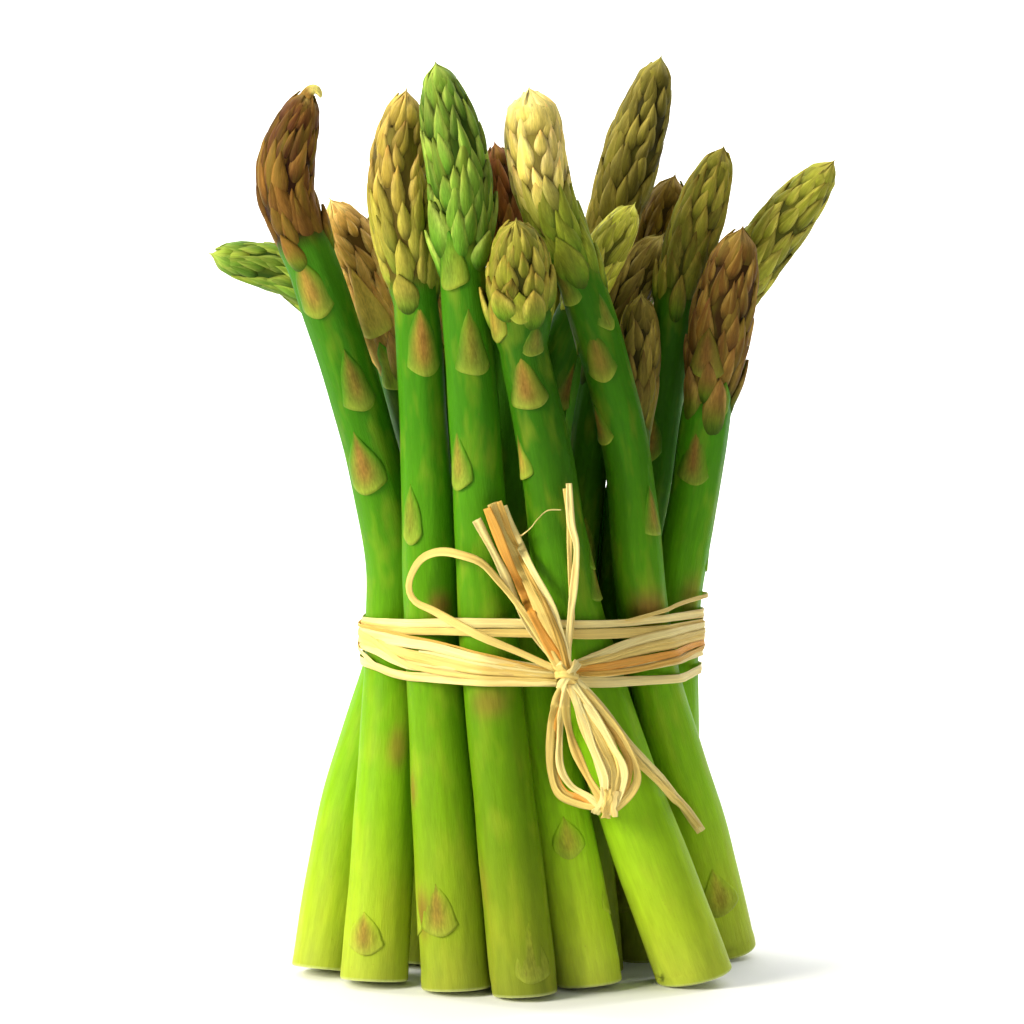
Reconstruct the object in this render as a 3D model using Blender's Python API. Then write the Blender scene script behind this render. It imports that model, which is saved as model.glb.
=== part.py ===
"""A bundle of green asparagus standing upright on its cut ends, tied at mid height with raffia.

Twenty spears, each one solid: stem, bud head and bracts grown together. The raffia is one ring of
flat wraps and one bow of a knot, hanging loops and loose ends. Lengths are in millimetres until
they become mesh points in metres. Front is -Y, up is +Z, and the middle spear's cut end sits at
the origin.
"""

import math
import random

import bmesh
import bpy
import numpy as np
from mathutils import Vector

MM = 0.001

# Driving dimensions in millimetres
WAIST_HEIGHT = 72.0
NEIGHBOUR_GAP = 0.35
RAFFIA_THICKNESS = 0.8
RAFFIA_GAP = 0.55

# Spear mesh
SIDES = 8
NODES = 61
STEM_RINGS = (0.0, 0.22, 0.38, 0.46, 0.54, 0.67, 0.83, 1.0)
HEAD_RINGS = (0.18, 0.45, 0.72, 0.91)
HEAD_CORE = 0.88
HEAD_BRACTS = 10
BRACT_RIDGE = 0.65
BRACT_TIP = 0.85
BRACT_ROOT = 2.2
STEM_BRACT_LIFT = 0.7
GOLDEN_ANGLE = math.radians(137.5)
SEED = 41
SHARP_ANGLE = math.radians(50)

# Share of the head length, and the radius there as a share of the head radius
POINTED = ((0.0, 0.8), (0.12, 0.86), (0.28, 0.96), (0.42, 1.0), (0.56, 0.99),
           (0.7, 0.91), (0.82, 0.76), (0.92, 0.53), (1.0, 0.16))
ROUNDED = ((0.0, 0.75), (0.12, 0.78), (0.28, 0.84), (0.42, 0.9), (0.56, 0.97),
           (0.7, 1.0), (0.82, 0.95), (0.92, 0.77), (1.0, 0.15))

# Each spear: name, radii (base, waist, neck, head), head length, head form, centreline points
SPEARS = (
    ("spear_01", (7.3, 6.5, 5.3, 6.6), 38, POINTED,
     ((-34.5, -24, 0), (-29.4, -7.5, 74), (-28.8, -9, 92), (-33.6, -14.5, 113), (-46.0, -24, 152), (-52.4, -28, 172), (-47.4, -30, 190.5))),
    ("spear_02", (7.0, 6.0, 4.4, 5.8), 32, POINTED,
     ((-46, -13, 0), (-39.6, -3, 38), (-29.0, 8, 74), (-29.0, 9, 95), (-33.0, 8.5, 117), (-42, 6, 138), (-51, 3, 151), (-70.5, 0, 156.5))),
    ("spear_03", (7.5, 6.2, 4.6, 7.1), 44, POINTED,
     ((-16.5, -31, 0), (-21.5, -20.5, 72), (-23.5, -26, 121), (-25, -29, 147), (-28.3, -30, 171), (-26.5, -30, 190.5))),
    ("spear_04", (6.9, 6.2, 4.8, 7.0), 42, POINTED,
     ((-2, -36.5, 0), (-9.5, -28, 72), (-13, -33, 126), (-15.2, -36, 153), (-16, -37, 172), (-21, -37, 195.5))),
    ("spear_05", (8.2, 7.1, 4.9, 7.0), 29, POINTED,
     ((35, -22.5, 0), (9, -28, 74), (2, -35, 116), (-2.6, -38, 138), (-3.4, -42, 150), (-4, -50, 163))),
    ("spear_06", (7.2, 5.6, 4.7, 6.9), 42, ROUNDED,
     ((43, 8, 0), (36.6, -1.5, 27), (24.5, -18, 72), (19, -25, 117), (9.5, -30, 151), (1.6, -33, 170), (-1.2, -36, 190.5))),
    ("spear_07", (6.8, 5.6, 5.2, 7.2), 38, POINTED,
     ((32, 24, 0), (28.9, -5, 70), (34.8, -9, 106), (37.3, -12, 124), (40.2, -14, 143), (44.5, -16, 162))),
    ("spear_08", (6.6, 5.4, 4.8, 6.0), 36, POINTED,
     ((19.5, 20, 0), (20.5, 8, 72), (26, 2, 110), (28.5, -2, 135), (31, -5, 153), (40, -8, 179.5))),
    ("spear_09", (6.8, 5.8, 4.8, 6.6), 46, POINTED,
     ((8, 33, 0), (14.5, 20.5, 72), (24, 15, 112), (37, 9, 137), (49.5, 4, 156.5), (65, -3, 176.5))),
    ("spear_10", (6.8, 5.8, 5.0, 6.8), 44, POINTED,
     ((6, 13, 0), (7, 6, 72), (11, 8, 120), (16.2, 8, 156), (21.4, 7, 177), (28, 5, 199.5))),
    ("spear_11", (6.4, 5.6, 4.4, 5.8), 28, POINTED,
     ((-7, 26, 0), (2.5, 19.5, 72), (14, 18, 118), (23, 18, 148), (28, 18, 162), (31.5, 17, 174))),
    ("spear_12", (6.6, 5.6, 3.9, 5.0), 26, POINTED,
     ((0, 0, 0), (-4, -5.5, 72), (1.0, -6, 108), (4, -8, 130), (10.5, -11, 148), (21.5, -8, 167))),
    ("spear_13", (6.6, 5.5, 4.0, 5.6), 30, POINTED,
     ((13, -9, 0), (8, -8, 72), (12, -3, 112), (15, -1, 130), (20, 0, 146), (29.5, 1, 160))),
    ("spear_14", (6.2, 5.2, 4.3, 5.2), 28, POINTED,
     ((24.5, 4.5, 0), (19.5, -4, 72), (20, -7, 100), (21, -9, 118), (22, -9, 132), (23, -8, 148))),
    ("spear_15", (6.8, 5.8, 4.6, 6.8), 38, POINTED,
     ((-17, -16, 0), (-17.5, -7, 72), (-25, -8, 112), (-31, -9, 136), (-36, -10, 152), (-44, -11, 168))),
    ("spear_16", (7.0, 6.1, 4.4, 5.4), 32, POINTED,
     ((12, -27, 0), (0, -18, 72), (-5, -18, 112), (-6, -16, 135), (-5.5, -15, 158), (-8.5, -13, 180))),
    ("spear_17", (6.6, 5.7, 4.6, 6.2), 36, POINTED,
     ((-25, -1, 0), (-18, 6.5, 72), (-20.5, 7, 112), (-21.5, 5, 135), (-23, 3, 152), (-27, 1, 170))),
    ("spear_18", (6.6, 5.7, 4.6, 6.2), 38, POINTED,
     ((-10, 9, 0), (-5.5, 7.5, 72), (-10, 3, 112), (-14, -2, 135), (-19, -9, 153), (-22, -14, 171))),
    ("spear_19", (6.6, 5.7, 4.6, 6.0), 34, POINTED,
     ((-38.5, 13, 0), (-23, 19.5, 72), (-26, 20, 112), (-28, 19, 135), (-32, 18, 150), (-36, 16, 166))),
    ("spear_20", (6.6, 5.7, 4.6, 6.2), 36, POINTED,
     ((-23, 21, 0), (-10, 20.5, 72), (-5, 20, 112), (0, 15, 135), (3, 9, 150), (4, 5, 167))),
)
MIDDLE_SPEAR = 11

# Stem bracts on the sides that face forward, by the spear's place in the list: distance of the
# foot along the stem, turn from the front in degrees (positive to the right), length, half width
# as an angle
FRONT_BRACTS = {
    0: ((150, -16, 14, 0.77), (128, 12, 14, 0.63), (110, -20, 14, 0.75), (6, -20, 9, 0.6)),
    2: ((133, 12, 15, 0.8), (97, -40, 13, 0.5), (12, -24, 11, 0.6)),
    3: ((151, -28, 12, 0.69), (133, 8, 14, 0.7), (109, -44, 13, 0.55), (3, 24, 13, 0.54)),
    4: ((146, -60, 11, 0.5), (151, 0, 8, 0.45), (142, 24, 8, 0.48), (131, -16, 12, 0.8), (116, -68, 10, 0.5),
        (87, 80, 12, 0.5)),
    5: ((156, -48, 11, 0.61), (149, 32, 8, 0.45), (139, -16, 11, 0.7), (125, -64, 9, 0.58),
        (104, 48, 11, 0.5), (14, 12, 12, 0.6)),
    6: ((137, -20, 11, 0.55), (129, 24, 8, 0.5), (114, -20, 13, 0.65)),
    7: ((114, -20, 11, 0.55),),
    14: ((142, -20, 16, 0.55), (130, -24, 11, 0.64)),
    15: ((28, 8, 9, 0.53),),
}


# Centrelines

def spline(points, count):
    """Smooth curve through the points, as count nodes evenly spaced along it."""
    pts = np.array(points, float)
    ends = (2 * pts[0] - pts[1], 2 * pts[-1] - pts[-2])
    pad = np.vstack([ends[0], pts, ends[1]])
    fine = []
    for i in range(1, len(pad) - 2):
        p0, p1, p2, p3 = pad[i - 1:i + 3]
        d0 = max(np.linalg.norm(p1 - p0), 1e-6) ** 0.5
        d1 = max(np.linalg.norm(p2 - p1), 1e-6) ** 0.5
        d2 = max(np.linalg.norm(p3 - p2), 1e-6) ** 0.5
        m1 = ((p1 - p0) / d0 - (p2 - p0) / (d0 + d1) + (p2 - p1) / d1) * d1
        m2 = ((p2 - p1) / d1 - (p3 - p1) / (d1 + d2) + (p3 - p2) / d2) * d1
        for t in np.linspace(0, 1, 40, endpoint=False):
            h = (2 * t**3 - 3 * t**2 + 1, t**3 - 2 * t**2 + t, 3 * t**2 - 2 * t**3, t**3 - t**2)
            fine.append(h[0] * p1 + h[1] * m1 + h[2] * p2 + h[3] * m2)
    fine.append(pts[-1])
    return resample(np.array(fine), count)


def resample(line, count):
    """The same line as count evenly spaced nodes."""
    steps = np.linalg.norm(np.diff(line, axis=0), axis=1)
    along = np.concatenate([[0], np.cumsum(steps)])
    where = np.linspace(0, along[-1], count)
    return np.stack([np.interp(where, along, line[:, k]) for k in range(3)], axis=1)


def line_length(line):
    return float(np.linalg.norm(np.diff(line, axis=0), axis=1).sum())


def spear_radius(spec, length, s):
    """Outer radius of a spear at the distance s along its centreline."""
    base, waist, neck, head = spec[1]
    start = length - spec[2]
    stem = np.interp(s, [0, 20, WAIST_HEIGHT, start], [base, base * 0.97, waist, neck])
    form = spec[3]
    shares = [p[0] for p in form]
    radii = [neck / head] + [p[1] for p in form[1:]]
    bud = head * np.interp((s - start) / spec[2], shares, radii)
    return np.where(s < start, stem, bud)


def laid_out():
    """Centrelines of all spears, eased apart so that no two touch."""
    lines = np.array([spline(spec[4], NODES) for spec in SPEARS])
    aims = lines.copy()
    lengths = [line_length(line) for line in lines]
    radii = np.array([spear_radius(spec, length, np.linspace(0, length, NODES))
                      for spec, length in zip(SPEARS, lengths)])
    room = radii + 0.5 * NEIGHBOUR_GAP + 0.22
    owner = np.repeat(np.arange(len(SPEARS)), NODES)
    flat_room = room.reshape(-1)
    rounds = 420
    for step in range(rounds):
        flat = lines.reshape(-1, 3)
        if step % 15 == 0:
            reach = 5.0
            first, second = [], []
            for i in range(len(SPEARS)):
                mine = np.where(owner == i)[0]
                others = np.where(owner > i)[0]
                if not len(others):
                    continue
                gap = np.linalg.norm(flat[mine][:, None] - flat[others][None], axis=2)
                near = gap < flat_room[mine][:, None] + flat_room[others][None] + reach
                a, b = np.where(near)
                first.append(mine[a])
                second.append(others[b])
            first = np.concatenate(first)
            second = np.concatenate(second)
        apart = flat[second] - flat[first]
        dist = np.linalg.norm(apart, axis=1)
        short = flat_room[first] + flat_room[second] - dist
        hit = short > 0
        push = apart[hit] / dist[hit][:, None] * (0.5 * short[hit])[:, None]
        move = np.zeros_like(flat)
        count = np.zeros(len(flat))
        np.add.at(move, first[hit], -push)
        np.add.at(move, second[hit], push)
        np.add.at(count, first[hit], 1)
        np.add.at(count, second[hit], 1)
        flat = flat + move / np.maximum(count, 1)[:, None] * 1.25
        shift = flat.reshape(lines.shape) - aims
        ease = 0.5 if step < rounds - 60 else 0.2
        padded = np.concatenate([shift[:, :1], shift, shift[:, -1:]], axis=1)
        shift = shift * (1 - ease) + ease * 0.5 * (padded[:, :-2] + padded[:, 2:])
        if step < rounds - 60:
            shift *= 0.996
        shift[:, :8, 2] = 0
        shift[MIDDLE_SPEAR, 0] = 0
        lines = aims + shift
    return np.array([resample(line, NODES) for line in lines])


class Spear:
    """One spear's centreline with a frame that doesn't twist along it."""

    def __init__(self, spec, line):
        self.spec = spec
        self.line = line
        self.length = line_length(line)
        self.along = np.linspace(0, self.length, len(line))
        ways = np.gradient(line, axis=0)
        self.ways = ways / np.linalg.norm(ways, axis=1)[:, None]
        side = np.cross(np.array([0.0, 1.0, 0.0]), self.ways[0])
        side /= np.linalg.norm(side)
        sides = []
        for way in self.ways:
            side = side - way * side.dot(way)
            side /= np.linalg.norm(side)
            sides.append(side)
        self.sides = np.array(sides)
        self.head_start = self.length - spec[2]

    def frame(self, s):
        s = min(max(s, 0.0), self.length)
        at = np.array([np.interp(s, self.along, self.line[:, k]) for k in range(3)])
        way = np.array([np.interp(s, self.along, self.ways[:, k]) for k in range(3)])
        way /= np.linalg.norm(way)
        side = np.array([np.interp(s, self.along, self.sides[:, k]) for k in range(3)])
        side -= way * side.dot(way)
        side /= np.linalg.norm(side)
        return at, way, side, np.cross(way, side)

    def radius(self, s):
        return float(spear_radius(self.spec, self.length, np.array(float(s))))

    def surface(self, s, angle, lift, share=1.0):
        """Point at distance s and angle, lifted off the surface."""
        at, way, side, across = self.frame(s)
        beyond = max(s - self.length, 0.0)
        reach = self.radius(min(s, self.length)) * share + lift
        return at + way * beyond + (side * math.cos(angle) + across * math.sin(angle)) * reach

    def cut_ring(self, sides):
        """Ring of the cut end, tilted toward square across the stem, its lowest point on the floor."""
        at, way, side, across = self.frame(0.0)
        off_middle = math.hypot(at[0], at[1])
        tilt = 0.6 * min(max((off_middle - 12.0) / 14.0, 0.0), 1.0)
        normal = way * tilt + np.array([0.0, 0.0, 1.0]) * (1 - tilt)
        ring = []
        for k in range(sides):
            angle = 2 * math.pi * k / sides
            point = at + (side * math.cos(angle) + across * math.sin(angle)) * self.radius(0.0)
            point = point + way * ((at - point).dot(normal) / way.dot(normal))
            ring.append(point)
        low = min(point[2] for point in ring)
        return [point - way * (low / way[2]) for point in ring]


# Mesh helpers

def mesh_object(name, points, faces):
    mesh = bpy.data.meshes.new(name)
    mesh.from_pydata([tuple(float(c) * MM for c in p) for p in points], [], faces)
    mesh.validate()
    bm = bmesh.new()
    bm.from_mesh(mesh)
    bmesh.ops.triangulate(bm, faces=[f for f in bm.faces if len(f.verts) > 4])
    bmesh.ops.recalc_face_normals(bm, faces=bm.faces)
    bm.to_mesh(mesh)
    bm.free()
    obj = bpy.data.objects.new(name, mesh)
    bpy.context.scene.collection.objects.link(obj)
    return obj


def tube_object(name, rings, tip=None):
    """Closed tube through rings of equal count, with a flat start and a flat or pointed end."""
    sides = len(rings[0])
    points = [p for ring in rings for p in ring]
    faces = []
    for i in range(len(rings) - 1):
        for k in range(sides):
            a = i * sides + k
            b = i * sides + (k + 1) % sides
            faces.append((a, b, b + sides, a + sides))
    faces.append(tuple(reversed(range(sides))))
    last = (len(rings) - 1) * sides
    if tip is None:
        faces.append(tuple(range(last, last + sides)))
    else:
        points.append(tip)
        for k in range(sides):
            faces.append((last + k, last + (k + 1) % sides, len(points) - 1))
    return mesh_object(name, points, faces)


def joined(base, pieces):
    """Fuse the pieces into the base with one union, and remove them."""
    group = bpy.data.collections.new(base.name + "_pieces")
    bpy.context.scene.collection.children.link(group)
    for piece in pieces:
        bpy.context.scene.collection.objects.unlink(piece)
        group.objects.link(piece)
    mod = base.modifiers.new("union", "BOOLEAN")
    mod.operation = "UNION"
    mod.operand_type = "COLLECTION"
    mod.collection = group
    mod.solver = "MANIFOLD"
    graph = bpy.context.evaluated_depsgraph_get()
    fused = bpy.data.meshes.new_from_object(base.evaluated_get(graph))
    base.modifiers.clear()
    old = base.data
    base.data = fused
    bpy.data.meshes.remove(old)
    for piece in pieces:
        bpy.data.objects.remove(piece, do_unlink=True)
    bpy.data.collections.remove(group)
    return base


def material(name, colour, roughness):
    mat = bpy.data.materials.new(name)
    mat.use_nodes = True
    shader = mat.node_tree.nodes["Principled BSDF"]
    shader.inputs["Base Color"].default_value = (*colour, 1.0)
    shader.inputs["Roughness"].default_value = roughness
    mat.diffuse_color = (*colour, 1.0)
    return mat


def finish(obj, mat):
    """One material, smooth shading, and sharp edges kept."""
    obj.data.materials.clear()
    obj.data.materials.append(mat)
    obj.data.shade_smooth()
    obj.data.set_sharp_from_angle(angle=SHARP_ANGLE)


# Bracts

def head_bract(spear, s, angle, length, half):
    """Closed kite of a bud bract: sunk at its root and edges, its ridge and its tip standing proud."""
    rows = ((0.0, 0.0, -0.5), (0.42, -half, -0.1), (0.42, 0.0, BRACT_RIDGE), (0.42, half, -0.1),
            (1.0, 0.0, BRACT_TIP), (0.45, 0.0, -BRACT_ROOT))
    points = [spear.surface(s + along * length, angle + across, rise, HEAD_CORE)
              for along, across, rise in rows]
    faces = ((0, 2, 1), (0, 3, 2), (1, 2, 4), (2, 3, 4), (0, 1, 5), (1, 4, 5), (4, 3, 5), (3, 0, 5))
    return mesh_object("bract", points, faces)


def stem_bract(spear, s, angle, length, half):
    """Closed triangle of a stem bract, broad and raised at its foot and pointing up."""
    rows = ((0.03, -half, -0.15), (0.0, 0.0, STEM_BRACT_LIFT), (0.03, half, -0.15),
            (1.0, 0.0, 0.25), (0.4, 0.0, -BRACT_ROOT))
    points = [spear.surface(s + along * length, angle + across, rise) for along, across, rise in rows]
    faces = ((0, 1, 3), (1, 2, 3), (1, 0, 4), (2, 1, 4), (0, 3, 4), (3, 2, 4))
    return mesh_object("bract", points, faces)


def head_bracts(spear, index):
    """Places of the bracts over a bud head, spiralling from the neck to the tip."""
    rng = random.Random(SEED + index)
    start = rng.uniform(0, 2 * math.pi)
    places = []
    for n in range(HEAD_BRACTS):
        t = n / (HEAD_BRACTS - 1)
        s = spear.head_start - 2.0 + spear.spec[2] * (0.86 * t ** 0.92)
        angle = start + n * GOLDEN_ANGLE + rng.uniform(-0.12, 0.12)
        length = spear.spec[2] * (0.42 - 0.12 * t) * rng.uniform(0.92, 1.1)
        length = min(length, spear.length + 0.8 - s)
        places.append((s, angle, length, 0.84 + 0.25 * t))
    return places


def stem_bracts(spear, index, all_spears):
    """Places of the bracts along a stem: those in front, and others clear of neighbours and raffia."""
    rng = random.Random(SEED * 7 + index)
    front = FRONT_BRACTS.get(index, ())
    places = [(s, math.radians(turn - 90), length, half) for s, turn, length, half in front]
    angle = rng.uniform(0, 2 * math.pi)
    s = 9.0 + rng.uniform(0, 10)
    spread = 2.0 if front else 1.25
    while s < spear.head_start - 6:
        share = s / spear.head_start
        length = (15.5 - 4.0 * share) * rng.uniform(0.9, 1.1)
        under = spear.frame(s)[0][2]
        over = spear.frame(s + length)[0][2]
        if over > 58 and under < 85:
            s += 4.0
            continue
        for turn in range(12):
            trial = angle + turn * math.radians(30) * (1 if turn % 2 else -1)
            if front and math.sin(trial) < 0.2:
                continue
            if clear_of_others(spear, s, length, trial, all_spears):
                places.append((s, trial, length, 0.78))
                break
        angle += GOLDEN_ANGLE + rng.uniform(-0.3, 0.3)
        s += (38.0 - 20.0 * share) * spread * rng.uniform(0.85, 1.15)
    return places


def clear_of_others(spear, s, length, angle, all_spears):
    for along in (0.0, 0.35, 0.7):
        for across in (-0.5, 0.0, 0.5):
            point = spear.surface(s + along * length, angle + across, 1.2)
            for other in all_spears:
                if other is spear:
                    continue
                gaps = np.linalg.norm(other.line - point, axis=1)
                near = int(gaps.argmin())
                if gaps[near] < other.radius(other.along[near]) + 0.9:
                    return False
    return True


def spear_object(spear, index, all_spears):
    name = spear.spec[0]
    rings = [spear.cut_ring(SIDES)]
    for share in STEM_RINGS[1:]:
        s = spear.head_start * share
        rings.append([spear.surface(s, 2 * math.pi * k / SIDES, 0.0) for k in range(SIDES)])
    for share in HEAD_RINGS:
        s = spear.head_start + spear.spec[2] * share
        rings.append([spear.surface(s, 2 * math.pi * k / SIDES, 0.0, HEAD_CORE) for k in range(SIDES)])
    tip = spear.surface(spear.length, 0.0, -spear.radius(spear.length))
    body = tube_object(name, rings, tip)
    pieces = []
    for s, angle, length, half in head_bracts(spear, index):
        pieces.append(head_bract(spear, s, angle, length, half))
    for s, angle, length, half in stem_bracts(spear, index, all_spears):
        pieces.append(stem_bract(spear, s, angle, length, half))
    return joined(body, pieces)


# Raffia

def hull_owner(spears, z, angle):
    """Index of the outermost stem in the direction of the angle at height z, and its point there."""
    n = np.array([math.cos(angle), math.sin(angle)])
    best = None
    for index, spear in enumerate(spears):
        s = float(np.interp(z, spear.line[:, 2], spear.along))
        at, way, side, across = spear.frame(s)
        lean = way[:2] / way[2]
        grow = math.sqrt(1 + lean.dot(n) ** 2)
        reach = at[:2].dot(n) + spear.radius(s) * grow
        if best is None or reach > best[0]:
            spot = at[:2] + spear.radius(s) * (n + lean * lean.dot(n)) / grow
            best = (reach, index, spot)
    return best[1], best[2]


def hull_point(spears, z, angle, lift):
    """Point where a tight band round all stems at height z faces the angle."""
    spot = hull_owner(spears, z, angle)[1]
    return np.array([spot[0] + math.cos(angle) * lift, spot[1] + math.sin(angle) * lift, z])


def wrap_turns(spears):
    """Directions in degrees at which the wraps get a corner: where they leave and meet each stem."""
    fine = np.arange(0, 360, 2.0)
    owners = [hull_owner(spears, WAIST_HEIGHT, math.radians(turn))[0] for turn in fine]
    turns = set()
    for k, turn in enumerate(fine):
        if owners[k] != owners[k - 1]:
            turns.add(float(turn))
            turns.add(float(fine[k - 1]))
    turns = sorted(turns)
    filled = []
    for k, turn in enumerate(turns):
        span = (turns[(k + 1) % len(turns)] - turn) % 360
        cuts = int(span // 24) + 1
        filled += [(turn + span * c / cuts) % 360 for c in range(cuts)]
    return sorted(filled)


# Heights of the ring of wraps by the angle round the bundle: its foot, the two ledges between
# strands, its top
RING_HEIGHTS = ((0, (63.3, 67.6, 77.0, 82.0)), (90, (67.3, 70.0, 76.4, 79.8)), (180, (66.3, 69.0, 73.6, 76.9)),
                (235, (64.5, 67.5, 75.0, 78.9)), (270, (64.5, 67.6, 74.2, 80.1)),
                (300, (64.3, 67.5, 75.0, 80.2)), (330, (63.7, 66.8, 77.0, 79.9)))
RING_LIFTS = (1.35, 1.8, 1.45)


def ring_object(spears, turns):
    """All wraps as one closed ring of three strands, each standing a little proud of the next."""
    angles = [h[0] for h in RING_HEIGHTS] + [360]
    rows = np.array([h[1] for h in RING_HEIGHTS] + [RING_HEIGHTS[0][1]])
    low, mid, high = RING_LIFTS
    points = []
    for turn in turns:
        z = [float(np.interp(turn, angles, rows[:, k])) for k in range(4)]
        section = ((z[0], RAFFIA_GAP), (z[0], low), (z[1] - 0.15, low), (z[1] + 0.15, mid), (z[2] - 0.15, mid),
                   (z[2] + 0.15, high), (z[3], high), (z[3], RAFFIA_GAP), (z[2], RAFFIA_GAP), (z[1], RAFFIA_GAP))
        points += [hull_point(spears, level, math.radians(turn), lift) for level, lift in section]
    sides = 10
    count = len(points)
    faces = []
    for k in range(len(turns)):
        for c in range(sides):
            a = sides * k + c
            b = sides * k + (c + 1) % sides
            faces.append((a, b, (b + sides) % count, (a + sides) % count))
    return mesh_object("raffia_wraps", points, faces)


def front_surface(spears, x, z):
    """The y of the frontmost stem surface around the point x, z."""
    front = 0.0
    for spear in spears:
        for dz in (-1.5, 0.0, 1.5):
            s = float(np.interp(z + dz, spear.line[:, 2], spear.along))
            at = spear.frame(s)[0]
            r = spear.radius(s) * 1.03
            for dx in (-1.2, 0.0, 1.2):
                off = x + dx - at[0]
                if abs(off) < r:
                    front = min(front, at[1] - math.sqrt(r * r - off * off))
    return front


# Strands of the bow: name, width, points (x, z, clearance in front of what lies behind)
BOW_STRANDS = (
    ("loop_left", 1.5, ((6.5, 67.0, 3.6), (3.6, 60.0, 4.0), (2.8, 50.0, 4.4), (3.2, 42.5, 4.0), (7.5, 38.3, 4.2),
                        (11.8, 36.8, 5.0), (9.5, 44.0, 6.2), (7.2, 56.0, 6.0), (6.8, 66.0, 4.6))),
    ("loop_right", 1.9, ((7.0, 67.0, 4.4), (8.6, 58.0, 4.8), (11.4, 47.0, 4.8), (13.2, 37.5, 4.2), (17.0, 38.5, 4.4),
                         (20.4, 44.0, 5.0), (18.0, 52.0, 5.6), (11.5, 61.0, 5.4), (7.4, 67.5, 4.2))),
    ("tail_long", 1.5, ((6.5, 69.0, 4.0), (12.0, 60.0, 3.8), (20.0, 50.0, 2.6), (28.0, 41.0, 2.2), (34.4, 31.5, 2.2))),
    ("fan_1", 1.4, ((7.0, 67.0, 4.2), (2.0, 79.0, 4.4), (-5.0, 91.0, 4.0), (-11.4, 101.5, 3.4))),
    ("fan_2", 1.5, ((7.2, 67.0, 5.2), (3.2, 80.0, 5.4), (-3.0, 93.0, 5.0), (-8.0, 104.0, 4.4))),
    ("fan_3", 1.3, ((7.4, 67.0, 3.4), (5.0, 80.0, 3.4), (-0.6, 93.0, 3.4), (-6.0, 104.0, 3.0))),
    ("tail_up", 1.0, ((7.4, 68.0, 4.2), (7.2, 80.0, 3.4), (8.6, 94.0, 3.0), (7.2, 108.0, 2.6))),
    ("tail_curl", 1.0, ((6.4, 67.0, 4.8), (-1.0, 80.0, 4.2), (-8.0, 91.0, 2.8), (-17.0, 94.0, 2.2), (-25.0, 91.0, 2.2),
                        (-27.4, 84.0, 2.2), (-18.0, 78.0, 3.4), (-7.0, 73.6, 4.2), (4.0, 69.5, 4.6))),
)
KNOT_AT = (6.6, 68.0)
KNOT_SIZE = (2.5, 1.9, 3.7)


def strand_line(spears, points, count):
    """Centreline of a strand, laid in front of the stems and the wraps."""
    path = spline([(x, -ahead, z) for x, z, ahead in points], count * 3)
    line = []
    for x, ahead, z in path:
        front = front_surface(spears, x, z)
        if 62.0 < z < 82.0:
            front = min(front, band_front(spears, x, z))
        line.append((x, front + ahead, z))
    line = np.array(line)
    for _ in range(5):
        inner = line[1:-1, 1]
        line[1:-1, 1] = np.minimum(inner, 0.5 * inner + 0.25 * (line[:-2, 1] + line[2:, 1]))
    return resample(line, count)


def band_front(spears, x, z):
    """The y of the front of the raffia wraps at x."""
    best = 0.0
    turns = [hull_point(spears, z, math.radians(t), 2.05) for t in range(190, 352, 6)]
    xs = [p[0] for p in turns]
    best = float(np.interp(x, xs, [p[1] for p in turns]))
    return best + 1.2


def strand_object(spears, name, width, points):
    count = 2 * len(points) - 2
    line = strand_line(spears, points, count)
    ways = np.gradient(line, axis=0)
    rings = []
    ahead = np.array([0.0, -1.0, 0.0])
    for at, way in zip(line, ways):
        way = way / np.linalg.norm(way)
        wide = np.cross(way, ahead)
        wide /= np.linalg.norm(wide)
        deep = np.cross(wide, way)
        half = 0.5 * RAFFIA_THICKNESS
        rings.append([at + wide * a * width / 2 + deep * b * half
                      for a, b in ((-1, -1), (1, -1), (1, 1), (-1, 1))])
    return tube_object(name, rings)


def knot_object(spears):
    x, z = KNOT_AT
    y = band_front(spears, x, z) - 1.2 - KNOT_SIZE[1] - NEIGHBOUR_GAP
    rings = []
    for level in (-0.8, -0.3, 0.3, 0.8):
        ring = []
        for k in range(8):
            angle = 2 * math.pi * k / 8
            wide = math.sqrt(1 - level * level)
            ring.append(np.array([x + KNOT_SIZE[0] * wide * math.cos(angle),
                                  y + KNOT_SIZE[1] * wide * math.sin(angle), z + KNOT_SIZE[2] * level]))
        rings.append(ring)
    return tube_object("raffia_bow", rings)


def main():
    for obj in list(bpy.data.objects):
        bpy.data.objects.remove(obj, do_unlink=True)
    green = material("spear_green", (0.16, 0.36, 0.04), 0.42)
    straw = material("raffia_straw", (0.82, 0.66, 0.34), 0.6)
    spears = [Spear(spec, line) for spec, line in zip(SPEARS, laid_out())]
    for index, spear in enumerate(spears):
        finish(spear_object(spear, index, spears), green)
    ring = ring_object(spears, wrap_turns(spears))
    bow = joined(knot_object(spears), [strand_object(spears, *strand) for strand in BOW_STRANDS])
    finish(ring, straw)
    finish(bow, straw)


main()
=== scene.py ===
"""The looks of a tied bundle of asparagus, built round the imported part.

Each spear gets a fine stem and layered bracts on the same centreline as its solid. The raffia gets
separate dry fibrous strands. Lengths are in millimetres until they become mesh points in metres.
Front is -Y and up is +Z.
"""

import math
import random
from collections import namedtuple

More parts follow.
